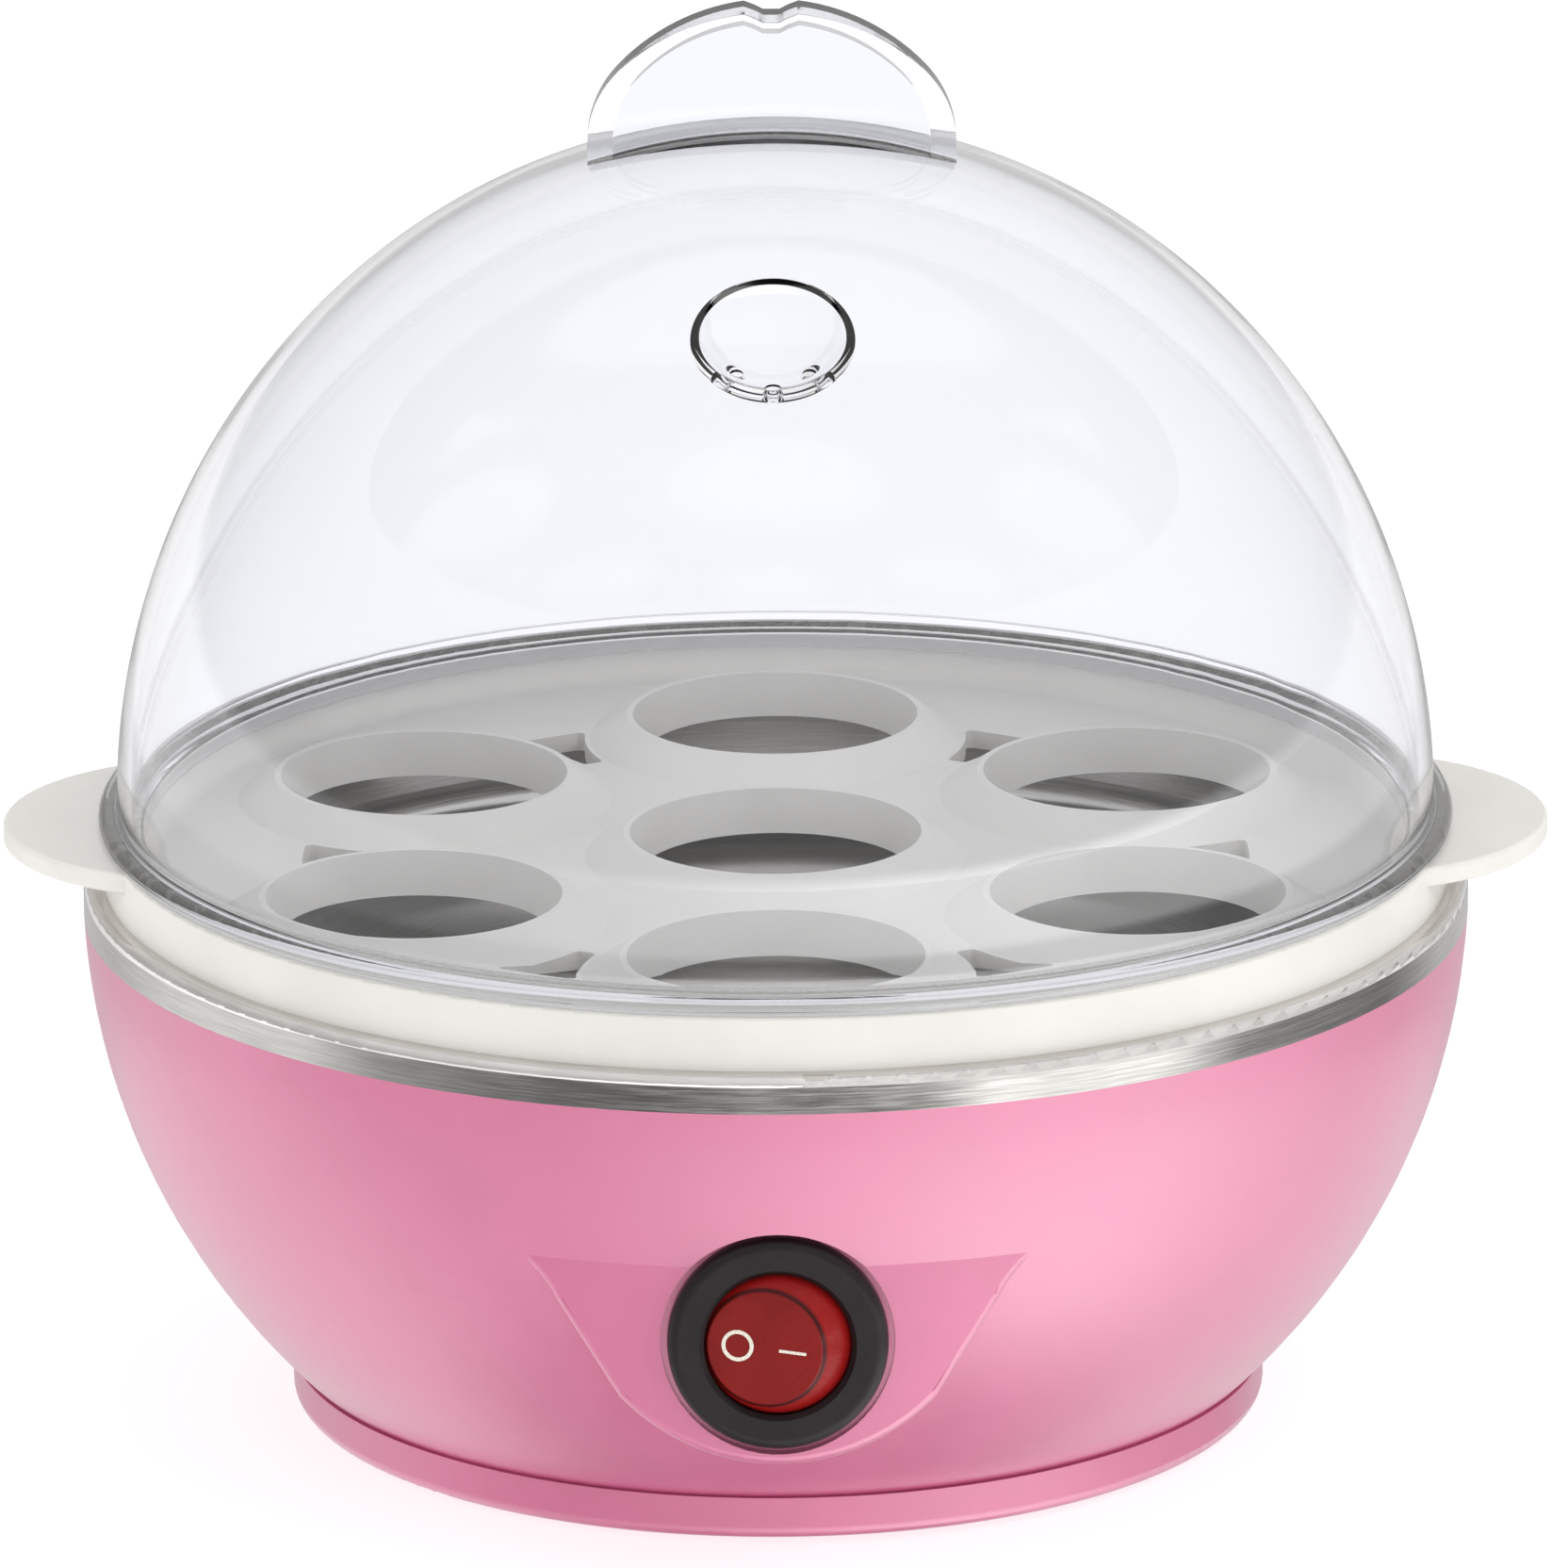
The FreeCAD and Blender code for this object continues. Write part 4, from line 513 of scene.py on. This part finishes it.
# %% Sizes of the lid, in millimetres from the frame and the drawing
MM = 0.001
lid_low, lid_high = (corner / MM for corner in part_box("lid"))
tray_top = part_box("egg_tray")[1].z / MM
FLANGE_RADIUS, COLLAR_FOOT, HANDLE_TOP = lid_high.x, lid_low.z, lid_high.z
FLANGE_THICKNESS, WALL, COLLAR_WALL = 1.8, 1.5, 1.4
COLLAR_RADIUS, DOME_RADIUS, DOME_HEIGHT, DOME_FOOT = 68.94, 70.3, 72.6, 0.6
EQUATOR = tray_top + FLANGE_THICKNESS + DOME_FOOT
APEX = EQUATOR + DOME_HEIGHT
ROUND_STEPS, ARCH_STEPS = 216, 40
FLANGE_STEPS, FILLET_STEPS = 12, 4
print("lid from", round(COLLAR_FOOT, 2), "to", round(HANDLE_TOP, 2), "mm, flange radius",
      round(FLANGE_RADIUS, 2), "mm")

# %% [markdown]
# ## Outlines from arcs
# The dome and the handle share one construction, an arch of two arcs: a side arc that rises from the
# foot to 45 degrees, and a crown arc about the middle that takes over there. Both arcs have the same
# direction where they meet, so the outline stays smooth.

# %% Arcs of an outline
def arc(across, up, radius, start, end, steps):
    """Points on an arc about (across, up), from one angle to another in degrees."""
    angles = [math.radians(start + (end - start) * k / steps) for k in range(steps + 1)]
    return [(across + radius * math.cos(a), up + radius * math.sin(a)) for a in angles]


def oval_radii(half_width, height):
    """The side and top radii of an arch whose two arcs meet at 45 degrees."""
    spread = (height - half_width) / (2 * math.sin(math.radians(45)) - 1)
    side = half_width + spread * math.sin(math.radians(45))
    return side, side - spread


def arch(half_width, height, base):
    """The right half of the arch, from its foot to its crown."""
    side, top = oval_radii(half_width, height)
    return (arc(half_width - side, base, side, 0, 45, ARCH_STEPS)[:-1]
            + arc(0, base + height - top, top, 45, 90, ARCH_STEPS))


print("side and crown of the dome:", [round(r, 1) for r in oval_radii(DOME_RADIUS, DOME_HEIGHT)], "mm")

# %% [markdown]
# ## Drawing with one point
# A plane is merged into a single point, and extruding that point again and again draws an outline. An
# outline in the plane of the axis is spun into a body of revolution, and a closed one is filled and
# pulled into a slab. Doubles on the axis are merged before the faces are turned outwards.

# %% Spun bodies, slabs and Booleans
def start_point(name, place):
    """A new mesh object that holds a single point."""
    bpy.ops.object.select_all(action="DESELECT")
    bpy.ops.mesh.primitive_plane_add(size=MM, location=place)
    piece = bpy.context.object
    piece.name = piece.data.name = name
    bpy.ops.object.transform_apply(location=True)
    bpy.ops.object.mode_set(mode="EDIT")
    bpy.ops.mesh.select_all(action="SELECT")
    bpy.ops.mesh.merge(type="CENTER")
    return piece


def draw_on(points, before):
    """Pulls the last point on through the given places."""
    for point in points:
        bpy.ops.mesh.extrude_region_move(TRANSFORM_OT_translate={"value": point - before})
        before = point


def turned(name, outline):
    """Spins a half outline of (radius, height) in millimetres about the axis."""
    places = [Vector((radius * MM, 0, height * MM)) for radius, height in outline]
    piece = start_point(name, places[0])
    draw_on(places[1:], places[0])
    bpy.ops.mesh.select_all(action="SELECT")
    bpy.ops.mesh.spin(steps=ROUND_STEPS, angle=2 * math.pi, center=(0, 0, 0), axis=(0, 0, 1))
    bpy.ops.mesh.select_all(action="SELECT")
    bpy.ops.mesh.remove_doubles(threshold=MM / 200)
    bpy.ops.mesh.normals_make_consistent(inside=False)
    bpy.ops.object.mode_set(mode="OBJECT")
    print(name, len(piece.data.polygons), "faces")
    return piece


def slab(name, outline, across, thickness):
    """A closed (x, z) outline in millimetres, filled and pulled along Y from across."""
    places = [Vector((x * MM, across * MM, z * MM)) for x, z in outline]
    piece = start_point(name, places[0])
    draw_on(places[1:], places[0])
    bpy.ops.mesh.select_all(action="SELECT")
    bpy.ops.mesh.edge_face_add()
    bpy.ops.mesh.extrude_region_move(TRANSFORM_OT_translate={"value": (0, thickness * MM, 0)})
    bpy.ops.mesh.select_all(action="SELECT")
    bpy.ops.mesh.normals_make_consistent(inside=False)
    bpy.ops.object.mode_set(mode="OBJECT")
    return piece


def combine(piece, tool, how):
    """Joins, cuts or keeps the shared part of two pieces, and uses the tool up."""
    bpy.ops.object.select_all(action="DESELECT")
    bpy.context.view_layer.objects.active = piece
    piece.select_set(True)
    step = piece.modifiers.new(how.lower(), "BOOLEAN")
    step.operation, step.object, step.solver = how, tool, "EXACT"
    bpy.ops.object.modifier_apply(modifier=step.name)
    bpy.data.objects.remove(tool)
    return piece


print("tools for drawing ready")

# %% [markdown]
# ## Outside and hollow of the dome
# From the foot up, the outside has the collar that drops into the tray, the flange with its rounded
# edge that rests on the tray, a small fillet, and the dome. The hollow follows one wall inside it, and
# reaches a little below the foot so that the cut goes right through.

# %% Two turned bodies
OVERSHOOT, CORE_STEP = 1.0, 1.0
half = FLANGE_THICKNESS / 2
flange_middle = tray_top + half
core_radius = COLLAR_RADIUS - COLLAR_WALL
outside = turned("dome_outside", [
    (0, COLLAR_FOOT), (COLLAR_RADIUS, COLLAR_FOOT), (COLLAR_RADIUS, tray_top),
    *arc(FLANGE_RADIUS - half, flange_middle, half, -90, 90, FLANGE_STEPS),
    *arc(DOME_RADIUS + DOME_FOOT, EQUATOR, DOME_FOOT, -90, -180, FILLET_STEPS)[:-1],
    *arch(DOME_RADIUS, DOME_HEIGHT, EQUATOR),
])
inside = turned("dome_hollow", [
    (0, COLLAR_FOOT - OVERSHOOT), (core_radius, COLLAR_FOOT - OVERSHOOT),
    (core_radius, tray_top + CORE_STEP), *arch(DOME_RADIUS - WALL, DOME_HEIGHT - WALL, EQUATOR),
])

# %% [markdown]
# ## The handle
# The handle stands on the crown: a half moon with a small notch at its top, thickest in the middle and
# thinner towards both ends, so that a finger and thumb close on it. A slab of the half moon, cut by an
# upright lens, gives that shape. The same shape made smaller is its hollow, open to the inside of the
# lid, as a moulded lid needs to keep its walls even.

# %% Handle and its hollow
HANDLE_HALF_WIDTH, HANDLE_SINK = 19.5, 0.5
HANDLE_THICK, HANDLE_END, HANDLE_WALL = 6.0, 2.4, 1.4
NOTCH_HALF_WIDTH, NOTCH_DEPTH, NOTCH_RISE = 2.9, 1.1, 0.18
NOTCH_SHOULDER, NOTCH_FLOOR = (0.62, 0.55), (0.3, 1.0)
HANDLE_ROOT, CORE_END = 12.0, 0.6
MOON_STEPS, LENS_STEPS = 14, 24
HANDLE_BASE = APEX - HANDLE_SINK
HANDLE_HEIGHT = HANDLE_TOP + NOTCH_RISE - HANDLE_BASE
LENS_TOP = HANDLE_TOP + 10


def half_moon(name, half_width, height, thick, end):
    """The half-moon slab, cut to a lens that is thickest in the middle."""
    side, top = oval_radii(half_width, height)
    cap = HANDLE_BASE + height - top
    lip = math.degrees(math.acos(NOTCH_HALF_WIDTH / top))
    notch = [(NOTCH_HALF_WIDTH * across, HANDLE_BASE + height - NOTCH_DEPTH * down)
             for across, down in (NOTCH_SHOULDER, NOTCH_FLOOR)]
    right = [*arc(half_width - side, HANDLE_BASE, side, 0, 45, MOON_STEPS)[:-1],
             *arc(0, cap, top, 45, lip, MOON_STEPS), *notch]
    foot = HANDLE_BASE - HANDLE_ROOT
    outline = [(half_width, foot), *right, *[(-x, z) for x, z in reversed(right)], (-half_width, foot)]
    moon = slab(name, outline, -thick, 2 * thick)
    bow = (thick - end) / 2
    lens_radius = (half_width ** 2 + bow ** 2) / (2 * bow)
    spread = math.degrees(math.asin((half_width + 1) / lens_radius))
    front = arc(0, lens_radius - thick / 2, lens_radius, -90 - spread, -90 + spread, LENS_STEPS)
    outline = [*front, *[(-x, -y) for x, y in front]]
    lens = slab(name + "_lens", outline, -1.0, 2.0)
    bpy.ops.object.mode_set(mode="EDIT")
    bpy.ops.mesh.select_all(action="SELECT")
    bpy.ops.transform.rotate(value=math.radians(90), orient_axis="X", center_override=(0, 0, 0))
    bpy.ops.transform.resize(value=(1, 1, LENS_TOP), center_override=(0, 0, 0))
    bpy.ops.mesh.normals_make_consistent(inside=False)
    bpy.ops.object.mode_set(mode="OBJECT")
    return combine(moon, lens, "INTERSECT")


handle = half_moon("handle", HANDLE_HALF_WIDTH, HANDLE_HEIGHT, HANDLE_THICK, HANDLE_END)
core = half_moon("handle_core", HANDLE_HALF_WIDTH - 2 * HANDLE_WALL, HANDLE_HEIGHT - HANDLE_WALL,
                 HANDLE_THICK - 2 * HANDLE_WALL, CORE_END)
print("handle", len(handle.data.polygons), "faces")

# %% [markdown]
# ## The steam cup
# Steam leaves through three small holes in a shallow cup near the top. A ball dents the front of the
# dome and a larger ball keeps the wall behind the dent, so the cup has the same wall as the dome. Then
# all the bodies meet: the outside takes the handle, loses the hollow and the dent, and is drilled.

# %% The steam cup and its holes
CUP_ANGLE, CUP_RADIUS, CUP_RISE = 33.0, 9.0, 4.1
HOLE_RADIUS, HOLE_CIRCLE, HOLE_ANGLES = 0.9, 4.6, (-30, -90, -150)
crown = oval_radii(DOME_RADIUS, DOME_HEIGHT)[1]
tilt = Matrix.Rotation(math.radians(CUP_ANGLE), 3, "X")
cup_middle = Vector((0, 0, (APEX - crown) * MM)) + tilt @ Vector((0, 0, (crown + CUP_RISE) * MM))


def cup_ball(name, radius):
    """A ball about the middle of the cup."""
    bpy.ops.object.select_all(action="DESELECT")
    bpy.ops.mesh.primitive_uv_sphere_add(segments=96, ring_count=64, radius=radius * MM,
                                         location=cup_middle, rotation=tilt.to_euler())
    ball = bpy.context.object
    ball.name = name
    bpy.ops.object.transform_apply(location=True, rotation=True)
    return ball


def steam_hole(degrees):
    """A drill for one hole, at an angle around the middle of the cup."""
    bpy.ops.object.select_all(action="DESELECT")
    angle = math.radians(degrees)
    spot = Vector((HOLE_CIRCLE * math.cos(angle), HOLE_CIRCLE * math.sin(angle), -CUP_RADIUS)) * MM
    bpy.ops.mesh.primitive_cylinder_add(vertices=40, radius=HOLE_RADIUS * MM, depth=2 * CUP_RADIUS * MM,
                                        location=cup_middle + tilt @ spot, rotation=tilt.to_euler())
    drill = bpy.context.object
    bpy.ops.object.transform_apply(location=True, rotation=True)
    return drill


inside = combine(inside, core, "UNION")
inside = combine(inside, cup_ball("cup_back", CUP_RADIUS + WALL), "DIFFERENCE")
clear_lid = combine(outside, handle, "UNION")
clear_lid = combine(clear_lid, inside, "DIFFERENCE")
clear_lid = combine(clear_lid, cup_ball("cup_front", CUP_RADIUS), "DIFFERENCE")
for degrees in HOLE_ANGLES:
    clear_lid = combine(clear_lid, steam_hole(degrees), "DIFFERENCE")
print("lid joined,", len(clear_lid.data.polygons), "faces")

# %% [markdown]
# ## Finishing the lid
# Booleans leave a few doubled points along their cuts, which are merged. Faces that meet at less than
# thirty degrees are shaded as one smooth surface, and the rims stay crisp. The piece then rides on the
# lid's body and stands in for the lid of the frame.

# %% The lid takes its place
SMOOTH_BELOW = math.radians(30)

clear_lid.name = clear_lid.data.name = "clear_lid"
bpy.ops.object.mode_set(mode="EDIT")
bpy.ops.mesh.select_all(action="SELECT")
bpy.ops.mesh.remove_doubles(threshold=MM / 500)
bpy.ops.mesh.dissolve_degenerate(threshold=MM / 1000)
bpy.ops.object.mode_set(mode="OBJECT")
bpy.ops.object.shade_smooth_by_angle(angle=SMOOTH_BELOW)
clear_lid.data.materials.clear()
clear_lid.data.materials.append(finishes["clear_plastic"])
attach(clear_lid, "lid")
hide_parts("lid")
print("lid", len(clear_lid.data.polygons), "faces, up to",
      round(max(v.co.z for v in clear_lid.data.vertices) / MM, 2), "mm")
